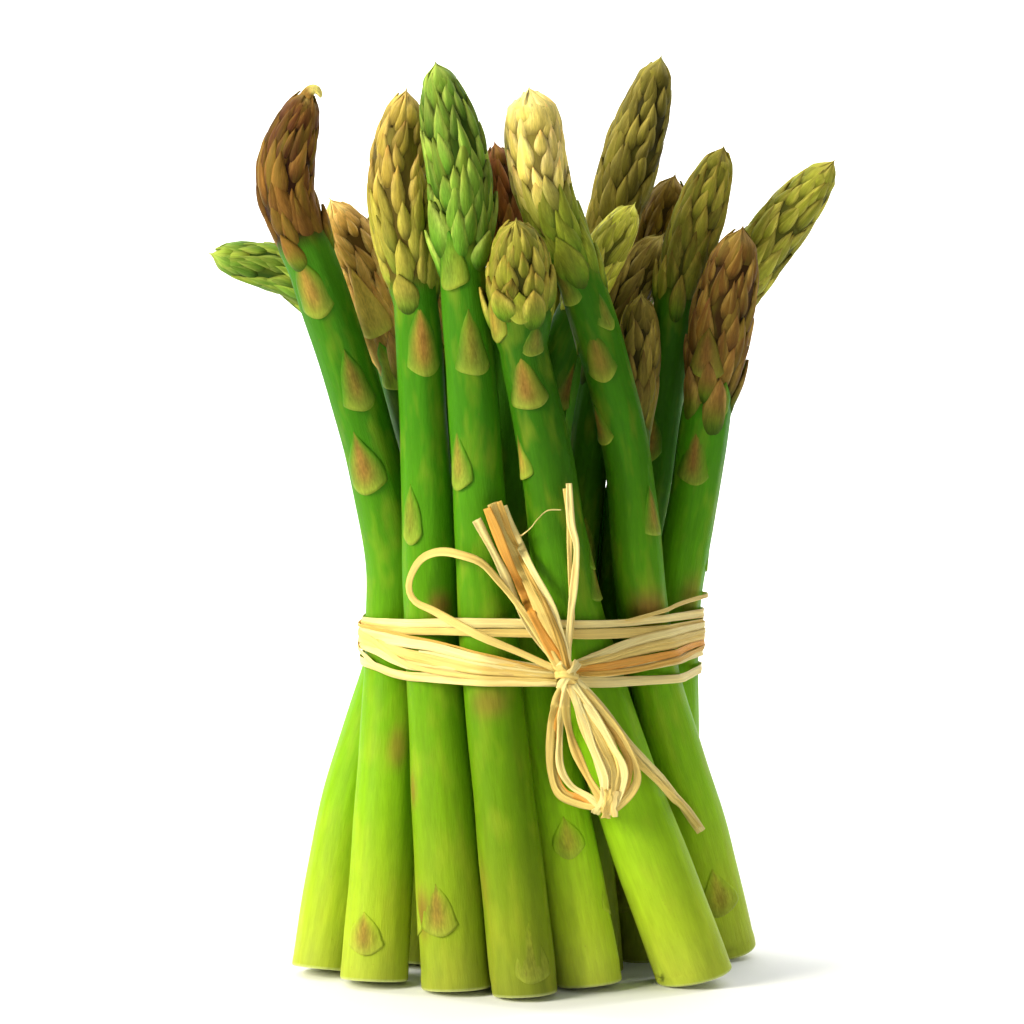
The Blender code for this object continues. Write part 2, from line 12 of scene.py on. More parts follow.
import bpy
import numpy as np
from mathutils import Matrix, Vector


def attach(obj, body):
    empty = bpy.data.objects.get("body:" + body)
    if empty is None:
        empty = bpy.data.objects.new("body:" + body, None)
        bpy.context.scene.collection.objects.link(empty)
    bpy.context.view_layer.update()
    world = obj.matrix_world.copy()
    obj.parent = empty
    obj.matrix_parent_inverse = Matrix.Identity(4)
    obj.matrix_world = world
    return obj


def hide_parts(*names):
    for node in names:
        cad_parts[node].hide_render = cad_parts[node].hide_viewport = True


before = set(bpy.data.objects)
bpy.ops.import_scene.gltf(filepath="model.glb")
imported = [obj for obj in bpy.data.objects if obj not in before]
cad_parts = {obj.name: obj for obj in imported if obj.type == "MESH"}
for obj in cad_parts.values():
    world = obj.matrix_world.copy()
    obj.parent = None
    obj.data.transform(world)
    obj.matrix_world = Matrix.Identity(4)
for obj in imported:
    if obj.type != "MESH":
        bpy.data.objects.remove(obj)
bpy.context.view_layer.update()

MM = 0.001
SEED = 41
FULL_TURN = 2 * math.pi
GOLDEN_ANGLE = math.radians(137.5)
UP = np.array([0.0, 0.0, 1.0])
BACK = np.array([0.0, 1.0, 0.0])
AHEAD = np.array([0.0, -1.0, 0.0])

# Share of the head length, and the radius there as a share of the head radius
POINTED = ((0.0, 0.8), (0.12, 0.86), (0.28, 0.96), (0.42, 1.0), (0.56, 0.99),
           (0.7, 0.91), (0.82, 0.76), (0.92, 0.53), (1.0, 0.16))
ROUNDED = ((0.0, 0.75), (0.12, 0.78), (0.28, 0.84), (0.42, 0.9), (0.56, 0.97),
           (0.7, 1.0), (0.82, 0.95), (0.92, 0.77), (1.0, 0.15))

# Each spear: radii (base, waist, neck, head), head length, head form, centreline points
Spec = namedtuple("Spec", "name radii head_length form points")
SPEAR_ROWS = (
    ((7.3, 6.5, 5.3, 6.6), 38, POINTED,
     ((-34.5, -24, 0), (-29.4, -7.5, 74), (-28.8, -9, 92), (-33.6, -14.5, 113), (-46, -24, 152),
      (-52.4, -28, 172), (-47.4, -30, 190.5))),
    ((7, 6, 4.4, 5.8), 32, POINTED,
     ((-46, -13, 0), (-39.6, -3, 38), (-29, 8, 74), (-29, 9, 95), (-33, 8.5, 117), (-42, 6, 138),
      (-51, 3, 151), (-70.5, 0, 156.5))),
    ((7.5, 6.2, 4.6, 7.1), 44, POINTED,
     ((-16.5, -31, 0), (-21.5, -20.5, 72), (-23.5, -26, 121), (-25, -29, 147), (-28.3, -30, 171),
      (-26.5, -30, 190.5))),
    ((6.9, 6.2, 4.8, 7), 42, POINTED,
     ((-2, -36.5, 0), (-9.5, -28, 72), (-13, -33, 126), (-15.2, -36, 153), (-16, -37, 172),
      (-21, -37, 195.5))),
    ((8.2, 7.1, 4.9, 7), 29, POINTED,
     ((35, -22.5, 0), (9, -28, 74), (2, -35, 116), (-2.6, -38, 138), (-3.4, -42, 150), (-4, -50, 163))),
    ((7.2, 5.6, 4.7, 6.9), 42, ROUNDED,
     ((43, 8, 0), (36.6, -1.5, 27), (24.5, -18, 72), (19, -25, 117), (9.5, -30, 151), (1.6, -33, 170),
      (-1.2, -36, 190.5))),
    ((6.8, 5.6, 5.2, 7.2), 38, POINTED,
     ((32, 24, 0), (28.9, -5, 70), (34.8, -9, 106), (37.3, -12, 124), (40.2, -14, 143), (44.5, -16, 162))),
    ((6.6, 5.4, 4.8, 6), 36, POINTED,
     ((19.5, 20, 0), (20.5, 8, 72), (26, 2, 110), (28.5, -2, 135), (31, -5, 153), (40, -8, 179.5))),
    ((6.8, 5.8, 4.8, 6.6), 46, POINTED,
     ((8, 33, 0), (14.5, 20.5, 72), (24, 15, 112), (37, 9, 137), (49.5, 4, 156.5), (65, -3, 176.5))),
    ((6.8, 5.8, 5, 6.8), 44, POINTED,
     ((6, 13, 0), (7, 6, 72), (11, 8, 120), (16.2, 8, 156), (21.4, 7, 177), (28, 5, 199.5))),
    ((6.4, 5.6, 4.4, 5.8), 28, POINTED,
     ((-7, 26, 0), (2.5, 19.5, 72), (14, 18, 118), (23, 18, 148), (28, 18, 162), (31.5, 17, 174))),
    ((6.6, 5.6, 3.9, 5), 26, POINTED,
     ((0, 0, 0), (-4, -5.5, 72), (1, -6, 108), (4, -8, 130), (10.5, -11, 148), (21.5, -8, 167))),
    ((6.6, 5.5, 4, 5.6), 30, POINTED,
     ((13, -9, 0), (8, -8, 72), (12, -3, 112), (15, -1, 130), (20, 0, 146), (29.5, 1, 160))),
    ((6.2, 5.2, 4.3, 5.2), 28, POINTED,
     ((24.5, 4.5, 0), (19.5, -4, 72), (20, -7, 100), (21, -9, 118), (22, -9, 132), (23, -8, 148))),
    ((6.8, 5.8, 4.6, 6.8), 38, POINTED,
     ((-17, -16, 0), (-17.5, -7, 72), (-25, -8, 112), (-31, -9, 136), (-36, -10, 152), (-44, -11, 168))),
    ((7, 6.1, 4.4, 5.4), 32, POINTED,
     ((12, -27, 0), (0, -18, 72), (-5, -18, 112), (-6, -16, 135), (-5.5, -15, 158), (-8.5, -13, 180))),
    ((6.6, 5.7, 4.6, 6.2), 36, POINTED,
     ((-25, -1, 0), (-18, 6.5, 72), (-20.5, 7, 112), (-21.5, 5, 135), (-23, 3, 152), (-27, 1, 170))),
    ((6.6, 5.7, 4.6, 6.2), 38, POINTED,
     ((-10, 9, 0), (-5.5, 7.5, 72), (-10, 3, 112), (-14, -2, 135), (-19, -9, 153), (-22, -14, 171))),
    ((6.6, 5.7, 4.6, 6), 34, POINTED,
     ((-38.5, 13, 0), (-23, 19.5, 72), (-26, 20, 112), (-28, 19, 135), (-32, 18, 150), (-36, 16, 166))),
    ((6.6, 5.7, 4.6, 6.2), 36, POINTED,
     ((-23, 21, 0), (-10, 20.5, 72), (-5, 20, 112), (0, 15, 135), (3, 9, 150), (4, 5, 167))),
)
SPEARS = [Spec(f"spear_{n:02d}", *row) for n, row in enumerate(SPEAR_ROWS, 1)]
MIDDLE_SPEAR = 11

# Stem bracts on the sides that face forward, by the spear's place in the list: distance of the
# foot along the stem, turn from the front in degrees (positive to the right), length, half width
# as an angle, how brown
FRONT_BRACTS = {
    0: ((150, -16, 14, 0.77, 0.9), (128, 12, 14, 0.63, 0.75), (110, -20, 14, 0.75, 1),
        (6, -20, 9, 0.6, 0.9)),
    2: ((133, 12, 15, 0.8, 1), (97, -40, 13, 0.5, 0.4), (12, -24, 11, 0.6, 0.8)),
    3: ((151, -28, 12, 0.69, 0.1), (133, 8, 14, 0.7, 0.5), (109, -44, 13, 0.55, 0.6),
        (3, 24, 13, 0.54, 0.1)),
    4: ((146, -60, 11, 0.5, 0.5), (151, 0, 8, 0.45, 0.1), (142, 24, 8, 0.48, 0.3), (131, -16, 12, 0.8, 1),
        (116, -68, 10, 0.5, 0.7), (87, 80, 12, 0.5, 0.7)),
    5: ((156, -48, 11, 0.61, 0.5), (149, 32, 8, 0.45, 0.4), (139, -16, 11, 0.7, 0.8),
        (125, -64, 9, 0.58, 0.8), (104, 48, 11, 0.5, 0.8), (14, 12, 12, 0.6, 0.6)),
    6: ((137, -20, 11, 0.55, 1), (129, 24, 8, 0.5, 0.8), (114, -20, 13, 0.65, 1)),
    7: ((114, -20, 11, 0.55, 0.8),),
    14: ((142, -20, 16, 0.55, 0.1), (130, -24, 11, 0.64, 0.35)),
    15: ((28, 8, 9, 0.53, 0.6),),
}

# The layout, which has to match the one of the solids
WAIST_HEIGHT = 72.0
TIE_LOW, TIE_HIGH = 58.0, 85.0
NODES = 61
SPLINE_STEPS = 40
NEIGHBOUR_GAP = 0.35
BRACT_ROOM = 0.22
ROUNDS = 420
LAST_ROUNDS = 60
PAIR_ROUNDS = 15
PAIR_REACH = 5.0
PUSH_SHARE = 1.25
HOMING = 0.996
FOOT_NODES = 8

# Cut ends tilt with their stems from this far off the middle of the bundle, in full this much further
FOOT_TILT, TILT_FROM, TILT_OVER = 0.6, 12.0, 14.0


# Centrelines

def spline(points, count):
    """Smooth curve through the points, as count nodes evenly spaced along it."""
    pts = np.array(points, float)
    ends = (2 * pts[0] - pts[1], 2 * pts[-1] - pts[-2])
    pad = np.vstack([ends[0], pts, ends[1]])
    fine = []
    for i in range(1, len(pad) - 2):
        p0, p1, p2, p3 = pad[i - 1:i + 3]
        d0, d1, d2 = (max(np.linalg.norm(b - a), 1e-6) ** 0.5 for a, b in ((p0, p1), (p1, p2), (p2, p3)))
        m1 = ((p1 - p0) / d0 - (p2 - p0) / (d0 + d1) + (p2 - p1) / d1) * d1
        m2 = ((p2 - p1) / d1 - (p3 - p1) / (d1 + d2) + (p3 - p2) / d2) * d1
        for t in np.linspace(0, 1, SPLINE_STEPS, endpoint=False):
            h = (2 * t**3 - 3 * t**2 + 1, t**3 - 2 * t**2 + t, 3 * t**2 - 2 * t**3, t**3 - t**2)
            fine.append(h[0] * p1 + h[1] * m1 + h[2] * p2 + h[3] * m2)
    fine.append(pts[-1])
    return resample(np.array(fine), count)


def distances(line):
    """Distance of each node along the line from its first node."""
    steps = np.linalg.norm(np.diff(line, axis=0), axis=1)
    return np.concatenate([[0], np.cumsum(steps)])


def at_distances(where, along, values):
    """Rows of three values at the distances where."""
    return np.stack([np.interp(where, along, values[:, k]) for k in range(3)], axis=-1)


def resample(line, count):
    """The same line as count evenly spaced nodes."""
    along = distances(line)
    return at_distances(np.linspace(0, along[-1], count), along, line)


def unit(vectors):
    """The same directions with the length 1."""
    return vectors / np.linalg.norm(vectors, axis=-1, keepdims=True)


def line_length(line):
    return float(np.linalg.norm(np.diff(line, axis=0), axis=1).sum())


def spear_radius(spec, length, s):
    """Outer radius of a spear at the distance s along its centreline."""
    base, waist, neck, head = spec.radii
    start = length - spec.head_length
    stem = np.interp(s, [0, 20, WAIST_HEIGHT, start], [base, base * 0.97, waist, neck])
    shares, radii = (list(values) for values in zip(*spec.form))
    radii[0] = neck / head
    bud = head * np.interp((s - start) / spec.head_length, shares, radii)
    return np.where(s < start, stem, bud)


def close_pairs(flat, room, owner):
    """Pairs of nodes on different spears that are near enough to be watched."""
    first, second = [], []
    for i in range(len(SPEARS) - 1):
        mine = np.where(owner == i)[0]
        others = np.where(owner > i)[0]
        gap = np.linalg.norm(flat[mine][:, None] - flat[others][None], axis=2)
        a, b = np.where(gap < room[mine][:, None] + room[others][None] + PAIR_REACH)
        first.append(mine[a])
        second.append(others[b])
    return np.concatenate(first), np.concatenate(second)


def pushed_apart(flat, room, first, second):
    """The nodes after one push between all pairs that are closer than their room."""
    apart = flat[second] - flat[first]
    dist = np.linalg.norm(apart, axis=1)
    short = room[first] + room[second] - dist
    hit = short > 0
    push = apart[hit] / dist[hit][:, None] * (0.5 * short[hit])[:, None]
    move = np.zeros_like(flat)
    count = np.zeros(len(flat))
    for ends, step in ((first[hit], -push), (second[hit], push)):
        np.add.at(move, ends, step)
        np.add.at(count, ends, 1)
    return flat + move / np.maximum(count, 1)[:, None] * PUSH_SHARE


def eased(shift, early):
    """Shifts of the nodes, made smooth along each line. Early rounds also pull them back a little."""
    ease = 0.5 if early else 0.2
    padded = np.concatenate([shift[:, :1], shift, shift[:, -1:]], axis=1)
    shift = shift * (1 - ease) + ease * 0.5 * (padded[:, :-2] + padded[:, 2:])
    if early:
        shift *= HOMING
    shift[:, :FOOT_NODES, 2] = 0
    shift[MIDDLE_SPEAR, 0] = 0
    return shift


def laid_out():
    """Centrelines of all spears, eased apart so that no two touch."""
    aims = np.array([spline(spec.points, NODES) for spec in SPEARS])
    lengths = [line_length(line) for line in aims]
    radii = [spear_radius(spec, length, np.linspace(0, length, NODES))
             for spec, length in zip(SPEARS, lengths)]
    room = np.concatenate(radii) + 0.5 * NEIGHBOUR_GAP + BRACT_ROOM
    owner = np.repeat(np.arange(len(SPEARS)), NODES)
    lines = aims
    for step in range(ROUNDS):
        flat = lines.reshape(-1, 3)
        if step % PAIR_ROUNDS == 0:
            first, second = close_pairs(flat, room, owner)
        flat = pushed_apart(flat, room, first, second)
        lines = aims + eased(flat.reshape(aims.shape) - aims, step < ROUNDS - LAST_ROUNDS)
    return np.array([resample(line, NODES) for line in lines])


# Colours, as seen on screen, from 0 to 255

def linear(*shade):
    """Linear colour of a screen colour."""
    c = np.array(shade, float) / 255.0
    return np.where(c <= 0.04045, c / 12.92, ((c + 0.055) / 1.055) ** 2.4)


# Stem colour by height
STEM_LEVELS = (0, 14, 38, 66, 92, 120, 150, 200)
STEM_SHADES = ((164, 176, 58), (158, 182, 40), (128, 174, 22), (104, 160, 14), (84, 146, 14),
               (64, 128, 14), (62, 122, 16), (84, 138, 26))
STEM_TABLE = np.array([linear(*shade) for shade in STEM_SHADES])

# Heights between which a stem's light changes, and its share of light at each of them by spear
LIGHT_LEVELS = (40.0, 105.0)
SKIN_LIGHT = ((1.0, 0.8), (1.0, 1.0), (0.72, 0.92), (0.56, 0.84), (1.05, 0.54), (1.1, 0.76), (1.15, 1.0),
              (0.75, 0.7), (0.85, 0.85), (0.8, 0.8), (0.7, 0.7), (0.72, 0.72), (0.7, 0.7), (0.6, 0.6),
              (0.85, 0.85), (1.35, 0.9), (0.85, 0.85), (0.85, 0.85), (0.85, 0.85), (0.85, 0.85))

# Bud of each spear: colours of the middle of a bract, its margin and its tip; how loose the bud is;
# how far stem green climbs into it; and the colour of the very tip
Bud = namedtuple("Bud", "middle margin tip looseness green crown")
HEAD_LOOKS = [Bud(*row) for row in (
    ((84, 48, 22), (140, 104, 46), (78, 46, 24), 0.15, 0.25, (220, 206, 116)),
    ((84, 124, 34), (158, 176, 74), (100, 122, 40), 0.15, 0.5, (170, 190, 80)),
    ((146, 126, 48), (198, 172, 92), (168, 116, 56), 0.3, 0.6, (204, 168, 92)),
    ((88, 126, 34), (160, 180, 78), (112, 128, 44), 0.8, 1, (156, 172, 66)),
    ((108, 112, 28), (178, 166, 72), (132, 104, 38), 1, 0.6, (178, 166, 70)),
    ((206, 186, 92), (246, 226, 144), (234, 178, 96), 0.5, 1, (246, 224, 140)),
    ((104, 72, 28), (168, 138, 66), (112, 70, 36), 0.6, 0.5, (128, 82, 44)),
    ((116, 116, 34), (168, 152, 64), (110, 84, 32), 0.25, 0.5, (116, 92, 40)),
    ((142, 146, 44), (200, 190, 86), (126, 108, 44), 0.15, 0.5, (150, 132, 56)),
    ((96, 90, 30), (162, 148, 72), (122, 108, 42), 0.5, 0.3, (190, 186, 72)),
    ((116, 92, 34), (160, 134, 58), (102, 74, 30), 0.3, 0.3, (120, 90, 36)),
    ((150, 152, 46), (200, 194, 84), (136, 126, 42), 0.3, 0.6, (170, 170, 66)),
    ((96, 82, 32), (158, 140, 68), (86, 62, 30), 0.4, 0.3, (150, 138, 66)),
    ((96, 84, 32), (140, 124, 56), (84, 62, 30), 0.4, 0.4, (120, 110, 50)),
    ((170, 132, 62), (214, 182, 108), (156, 102, 50), 0.5, 0.4, (214, 182, 106)),
    ((104, 60, 30), (140, 94, 52), (88, 48, 26), 0.15, 0, (106, 62, 36)),
    ((110, 112, 40), (168, 162, 76), (116, 88, 42), 0.3, 0.5, (134, 116, 54)),
    ((134, 116, 44), (182, 160, 80), (146, 104, 48), 0.3, 0.5, (172, 140, 72)),
    ((112, 104, 36), (164, 148, 70), (106, 76, 34), 0.3, 0.5, (122, 96, 46)),
    ((100, 112, 34), (158, 158, 70), (106, 84, 36), 0.4, 0.5, (126, 110, 50)),
)]

# Colour of the lower bracts where it differs from the rest of the bud
LOW_LOOKS = {5: (112, 120, 34), 2: (132, 124, 48), 0: (104, 72, 28)}

# Painted light: factors that make the colours of a whole bud lighter
BUD_LIGHT = {2: 1.15, 5: 1.15, 6: 1.1, 11: 1.7, 12: 1.4, 13: 1.7, 14: 1.7, 15: 1.3, 9: 1.1}

# How far above the foot of the solid's head the small bracts begin
BUD_LATE = {0: 5.0, 2: 3.0, 3: 3.0, 4: 9.0, 5: 3.0, 7: 3.0}

# How many broad bracts stand off round the foot of the bud
NECK_BRACTS = {0: 3, 2: 4, 3: 7, 4: 6, 5: 5, 6: 6, 7: 4, 9: 3, 14: 3}
PLAIN_NECK_BRACTS = 2

# Tips that curl over, with how far the curve's knots lie from the tip of the centreline
HOOKED_TIPS = {0: ((-0.1, -0.3, 0.7), (2.1, -0.4, 1.1), (2.7, -0.5, -1.6))}
HOOK_ROOT = 4.0
HOOK_RADIUS = 1.45

# Painted light: factors that make the colours of the bracts along a stem lighter
BRACT_LIGHT = {14: 1.9}

# Brown marks where old scales lie flat on a stem: distance, turn from the front, length, half
# width, how brown
FLAT_MARKS = {
    0: ((47, 16, 9, 0.35, 0.8), (62, 50, 16, 0.5, 0.5)),
    2: ((80, 20, 7, 0.5, 1.0), (40, -70, 8, 0.3, 0.8), (13, -56, 10, 0.4, 0.9)),
    3: ((60, -8, 7, 0.75, 0.7), (20, -68, 11, 0.35, 0.4)),
    5: ((85, 12, 9, 0.9, 1.0),),
    6: ((85, 28, 10, 0.5, 0.7), (11, 60, 12, 0.6, 0.6)),
}

# Bracts near the foot lie flat on the stem, and those higher up stand off it
FOOT_LENGTH = 40.0
FOOT_BRACT_HEIGHT = 0.18
STEM_BRACT_HEIGHT = 0.5

STEM_BRACT_MIDDLE = linear(132, 92, 44)
STEM_BRACT_WARM = linear(176, 122, 58)
STEM_BRACT_MARGIN = linear(150, 156, 62)
STEM_BRACT_FOOT = linear(150, 166, 56)
CUT_FACE = linear(206, 214, 150)


def smooth(x, low, high):
    """Rises softly from 0 at low to 1 at high."""
    t = np.clip((x - low) / (high - low), 0.0, 1.0)
    return t * t * (3 - 2 * t)


def mix(a, b, t):
    """Colour between a and b, by the share t."""
    return a + (b - a) * np.asarray(t)[..., None]


def stem_tint(z, light=(1.0, 1.0)):
    """Stem colour at heights z; light is the share near the foot and the share higher up."""
    return at_distances(z, STEM_LEVELS, STEM_TABLE) * np.interp(z, LIGHT_LEVELS, light)[..., None]


class Spear:
    """One spear's centreline with a frame that doesn't twist along it, for arrays of distances."""

    def __init__(self, spec, line, index):
        self.spec = spec
        self.line = line
        self.index = index
        self.length = line_length(line)
        self.along = np.linspace(0, self.length, len(line))
        self.ways = unit(np.gradient(line, axis=0))
        side = unit(np.cross(BACK, self.ways[0]))
        sides = []
        for way in self.ways:
            side = unit(side - way * side.dot(way))
            sides.append(side)
        self.sides = np.array(sides)
        self.head_start = self.length - spec.head_length
        self.bud_start = self.head_start + BUD_LATE.get(index, 0.0)

    def frames(self, s):
        """Points on the centreline with its direction and the two directions across it."""
        s = np.clip(s, 0.0, self.length)
        at = at_distances(s, self.along, self.line)
        way = unit(at_distances(s, self.along, self.ways))
        side = at_distances(s, self.along, self.sides)
        side = unit(side - way * (side * way).sum(axis=-1, keepdims=True))
        return at, way, side, np.cross(way, side)

    def middle(self, s):
        return self.frames(np.array([s]))[0][0]

    def radius(self, s):
        return spear_radius(self.spec, self.length, np.asarray(s, float))

    def surface(self, s, angle, lift, share=1.0):
        """Points at distances s and angles, lifted off the surface."""
        at, way, side, across = self.frames(s)
        beyond = np.maximum(s - self.length, 0.0)[..., None]
        reach = (self.radius(np.minimum(s, self.length)) * share + lift)[..., None]
        out = side * np.cos(angle)[..., None] + across * np.sin(angle)[..., None]
        return at + way * beyond + out * reach

    def foot_rim(self, angle):
        """Edge of the cut end, level in the middle of the bundle and tilted further out."""
        at, way, side, across = (v[0] for v in self.frames(np.array([0.0])))
        off_middle = math.hypot(at[0], at[1])
        tilt = FOOT_TILT * min(max((off_middle - TILT_FROM) / TILT_OVER, 0.0), 1.0)
        normal = way * tilt + UP * (1 - tilt)
        out = side * np.cos(angle)[:, None] + across * np.sin(angle)[:, None]
        rim = at + out * float(self.radius(0.0))
        rim = rim + way * (((at - rim) @ normal) / way.dot(normal))[:, None]
        return rim - way * (rim[:, 2].min() / way[2]), way


# Meshes

def placed(name, data):
    """A new object of the scene."""
    obj = bpy.data.objects.new(name, data)
    bpy.context.scene.collection.objects.link(obj)
    return obj


class Bits:
    """Points and faces of one piece, with a colour, a grain coordinate and a dryness for each point."""

    def __init__(self):
        self.points, self.tints, self.grains, self.drys, self.faces = [], [], [], [], []
        self.count = 0

    def add(self, points, tint, grain, dry):
        """Add points and return the number of the first one."""
        points = np.reshape(points, (-1, 3))
        first = self.count
        self.count += len(points)
        self.points.append(points)
        self.tints.append(np.reshape(tint, (-1, 3)))
        self.grains.append(np.reshape(grain, (-1, 3)))
        self.drys.append(np.broadcast_to(np.reshape(dry, -1), len(points)))
        return first

    def rings(self, points, tint, grain, dry, caps=None):
        """Tube of rows of points. Its caps are "strip" for a flat shell, "fan", or None for a closed loop."""
        rows, cols = points.shape[:2]
        first = self.add(points, tint, grain, dry)
        last = first + (rows - 1) * cols
        k = np.arange(cols)
        for i in range(rows if caps is None else rows - 1):
            a, b = first + i * cols, first + (i + 1) % rows * cols
            after = (k + 1) % cols
            self.faces += np.stack([a + k, a + after, b + after, b + k], axis=1).tolist()
        if caps == "strip":
            self.strip(first, cols, False)
            self.strip(last, cols, True)
        if caps == "fan":
            self.fan(last, points[-1], tint[-1], grain[-1], True)
            self.fan(first, points[0], tint[0], grain[0], False)

    def fan(self, first, ring, tint, grain, end):
        """Close a ring with triangles round its middle."""
        hub = self.add(ring.mean(axis=0), tint.mean(axis=0), grain.mean(axis=0), 0.0)
        for k in range(len(ring)):
            a, b = first + k, first + (k + 1) % len(ring)
            self.faces.append([a, b, hub] if end else [b, a, hub])

    def strip(self, first, cols, end):
        """Close a flattened ring whose second half runs back along its first."""
        for k in range(cols // 2 - 1):
            face = [first + k, first + k + 1, first + cols - 2 - k, first + cols - 1 - k]
            self.faces.append(face if end else face[::-1])

    def build(self, name, mat):
        mesh = bpy.data.meshes.new(name)
        points = np.concatenate(self.points) * MM
        mesh.from_pydata(points.tolist(), [], self.faces)
        rgba = np.ones((len(points), 4))
        rgba[:, :3] = np.clip(np.concatenate(self.tints), 0.0, 1.0)
        for key, kind, field, values in (("tint", "FLOAT_COLOR", "color", rgba),
                                         ("grain", "FLOAT_VECTOR", "vector", np.concatenate(self.grains)),
                                         ("dry", "FLOAT", "value", np.concatenate(self.drys))):
            mesh.attributes.new(key, kind, "POINT").data.foreach_set(field, values.ravel())
        mesh.shade_smooth()
        mesh.materials.append(mat)
        mesh.update()
        return placed(name, mesh)


# Spears

STEM_SIDES = 40
STEM_STEP = 1.6
CORE_SHARE = 0.84
TIP_SHARE = CORE_SHARE + 0.06
NECK_SHARE = 0.97
HEAD_BRACTS_PER_MM = 2.3
TIP_BRACTS = 13
GRAIN_RADIUS = 6.0

# Rings of the cut end as shares of its radius, the share and rise of its soft edge, how far up the
# side the next rings are, and where each ring of the foot lies in the grain
CUT_RINGS = (0.3, 0.62, 0.88, 0.965)
EDGE_SHARE, EDGE_RISE = 0.995, 0.22
SIDE_RISES = (0.7, 2.2)
FOOT_GRAIN = (-3.0, -2.5, -2.0, -1.5, -1.0, 0.5, 2.0)

# Bracts of a bud: length and half width at its foot, and how much less of each at its tip
BUD_LENGTH, BUD_LENGTH_LOSS = 11.0, 4.4
BUD_HALF_WIDTH, BUD_HALF_WIDTH_LOSS = 2.7, 1.1

# Stem bracts that aren't listed: length and spacing at the foot of the stem, how much less of each at
# its head, half width as an angle, step past the tie, and the sides tried to keep off a neighbour
PLAIN_LENGTH, PLAIN_LENGTH_LOSS = 15.5, 4.0
PLAIN_SPACING, PLAIN_SPACING_LOSS = 38.0, 20.0
PLAIN_HALF_WIDTH = 0.78
TIE_STEP = 4.0
SIDES_TRIED = 12
SIDE_TURN = math.radians(30)
TEST_LIFT, TEST_MARGIN = 1.2, 0.9
SPEAR_SEED = 100


def stem_foot(spear, angle):
    """Rings of the cut end from its middle out, over its soft edge, and up the side."""
    rim, way = spear.foot_rim(angle)
    middle = rim.mean(axis=0)
    rings = [middle + (rim - middle) * share for share in CUT_RINGS]
    rings.append(middle + (rim - middle) * EDGE_SHARE + way * EDGE_RISE)
    rings += [rim + way * rise for rise in SIDE_RISES]
    return np.array(rings)


def stem_ribs(s, angle, rng):
    """Low ribs along a stem, with slow swellings."""
    waves = [(rng.randint(5, 13), rng.uniform(0, 6.3), rng.uniform(0.02, 0.05), rng.uniform(-0.02, 0.02))
             for _ in range(5)]
    ribs = sum(size * np.cos(k * angle + phase + drift * s) for k, phase, size, drift in waves)
    return ribs + 0.10 * np.sin(s * 0.11 + waves[0][1]) + 0.06 * np.sin(s * 0.27 + waves[1][1])


def add_stem(bits, spear, seed):
    """The stem from its cut end up, and the core of the head inside the bracts."""
    end = spear.length
    s = np.concatenate([np.linspace(5.0, end - 1.0, int(end / STEM_STEP)), [end - 0.4]])
    angle = np.linspace(0, FULL_TURN, STEM_SIDES, endpoint=False)
    S, A = np.meshgrid(s, angle, indexing="ij")
    core = smooth(S, spear.bud_start - 2, spear.bud_start + 5)
    share = 1 - (1 - CORE_SHARE) * core
    share = share * (1 - 0.8 * smooth(S, end - 5.5, end - 1.2))
    ribs = stem_ribs(S, A, random.Random(seed)) * (1 - core)
    foot = stem_foot(spear, angle)
    points = np.concatenate([foot, spear.surface(S, A, ribs, share)])
    tint = stem_tint(points[..., 2], SKIN_LIGHT[spear.index])
    cut = len(CUT_RINGS)
    tint[:cut] = CUT_FACE
    tint[cut] = mix(tint[cut], CUT_FACE, np.full(STEM_SIDES, 0.5))
    side = tint[len(foot):]
    for s0, turn, length, half, brown in FLAT_MARKS.get(spear.index, ()):
        off = np.angle(np.exp(1j * (A - math.radians(turn - 90)))) / half
        along = (S - s0 - 0.4 * length) / (0.55 * length)
        soft = np.exp(-1.3 * (off ** 2 + along ** 2) ** 1.5)
        side[:] = mix(side, STEM_BRACT_MIDDLE, soft * brown * 0.85)
    # Painted shade: where the stem runs into the core under the bud's bracts, it is darkened towards 0.3
    # times the bud's middle colour.
    painted_core_shade = smooth(S, spear.bud_start - 2, spear.bud_start + 3)
    side[:] = mix(side, linear(*HEAD_LOOKS[spear.index].middle) * 0.3, painted_core_shade)
    along = np.concatenate([np.tile(np.array(FOOT_GRAIN)[:, None], STEM_SIDES), S])
    turns = np.tile(angle, (len(points), 1))
    grain = np.stack([GRAIN_RADIUS * np.cos(turns), GRAIN_RADIUS * np.sin(turns), along * 0.12], axis=-1)
    bits.rings(points, tint, grain + np.array([seed * 3.7, seed * 1.9, seed * 5.3]), 0.0, "fan")


def shell(bits, spear, place, form, colours, share, seed, rows, cols):
    """One bract as a thin closed leaf wrapped round the spear.

    place is the distance of its foot, its length, angle, half width and lean. form(u, v) gives the
    width share, lift, set-back and thickness; colours(u, v, z) gives the tint and dryness.
    """
    s0, length, angle, half, lean = place
    V, U = np.meshgrid(np.linspace(0, 1, rows), np.linspace(-1, 1, cols), indexing="ij")
    wide, lift, back, thick = form(U, V)
    S = s0 + length * V + back
    A = angle + half * wide * U + lean * V
    top = spear.surface(S, A, lift, share)
    under = spear.surface(S, A, lift - thick, share)
    tint, dry = colours(U, V, top[..., 2])
    grain = np.stack([U * 3.0 * wide, V * length * 0.16, np.zeros_like(U)], axis=-1)
    grain = grain + np.array([seed * 2.3 % 97, seed * 4.1 % 89, seed * 1.7 % 83])
    # The underside takes the top's tint darkened to 0.45, as painted shade.
    both = [np.concatenate([upper, lower[:, ::-1]], axis=1)
            for upper, lower in ((top, under), (tint, tint * 0.45), (grain, grain), (dry, dry))]
    bits.rings(*both, "strip")


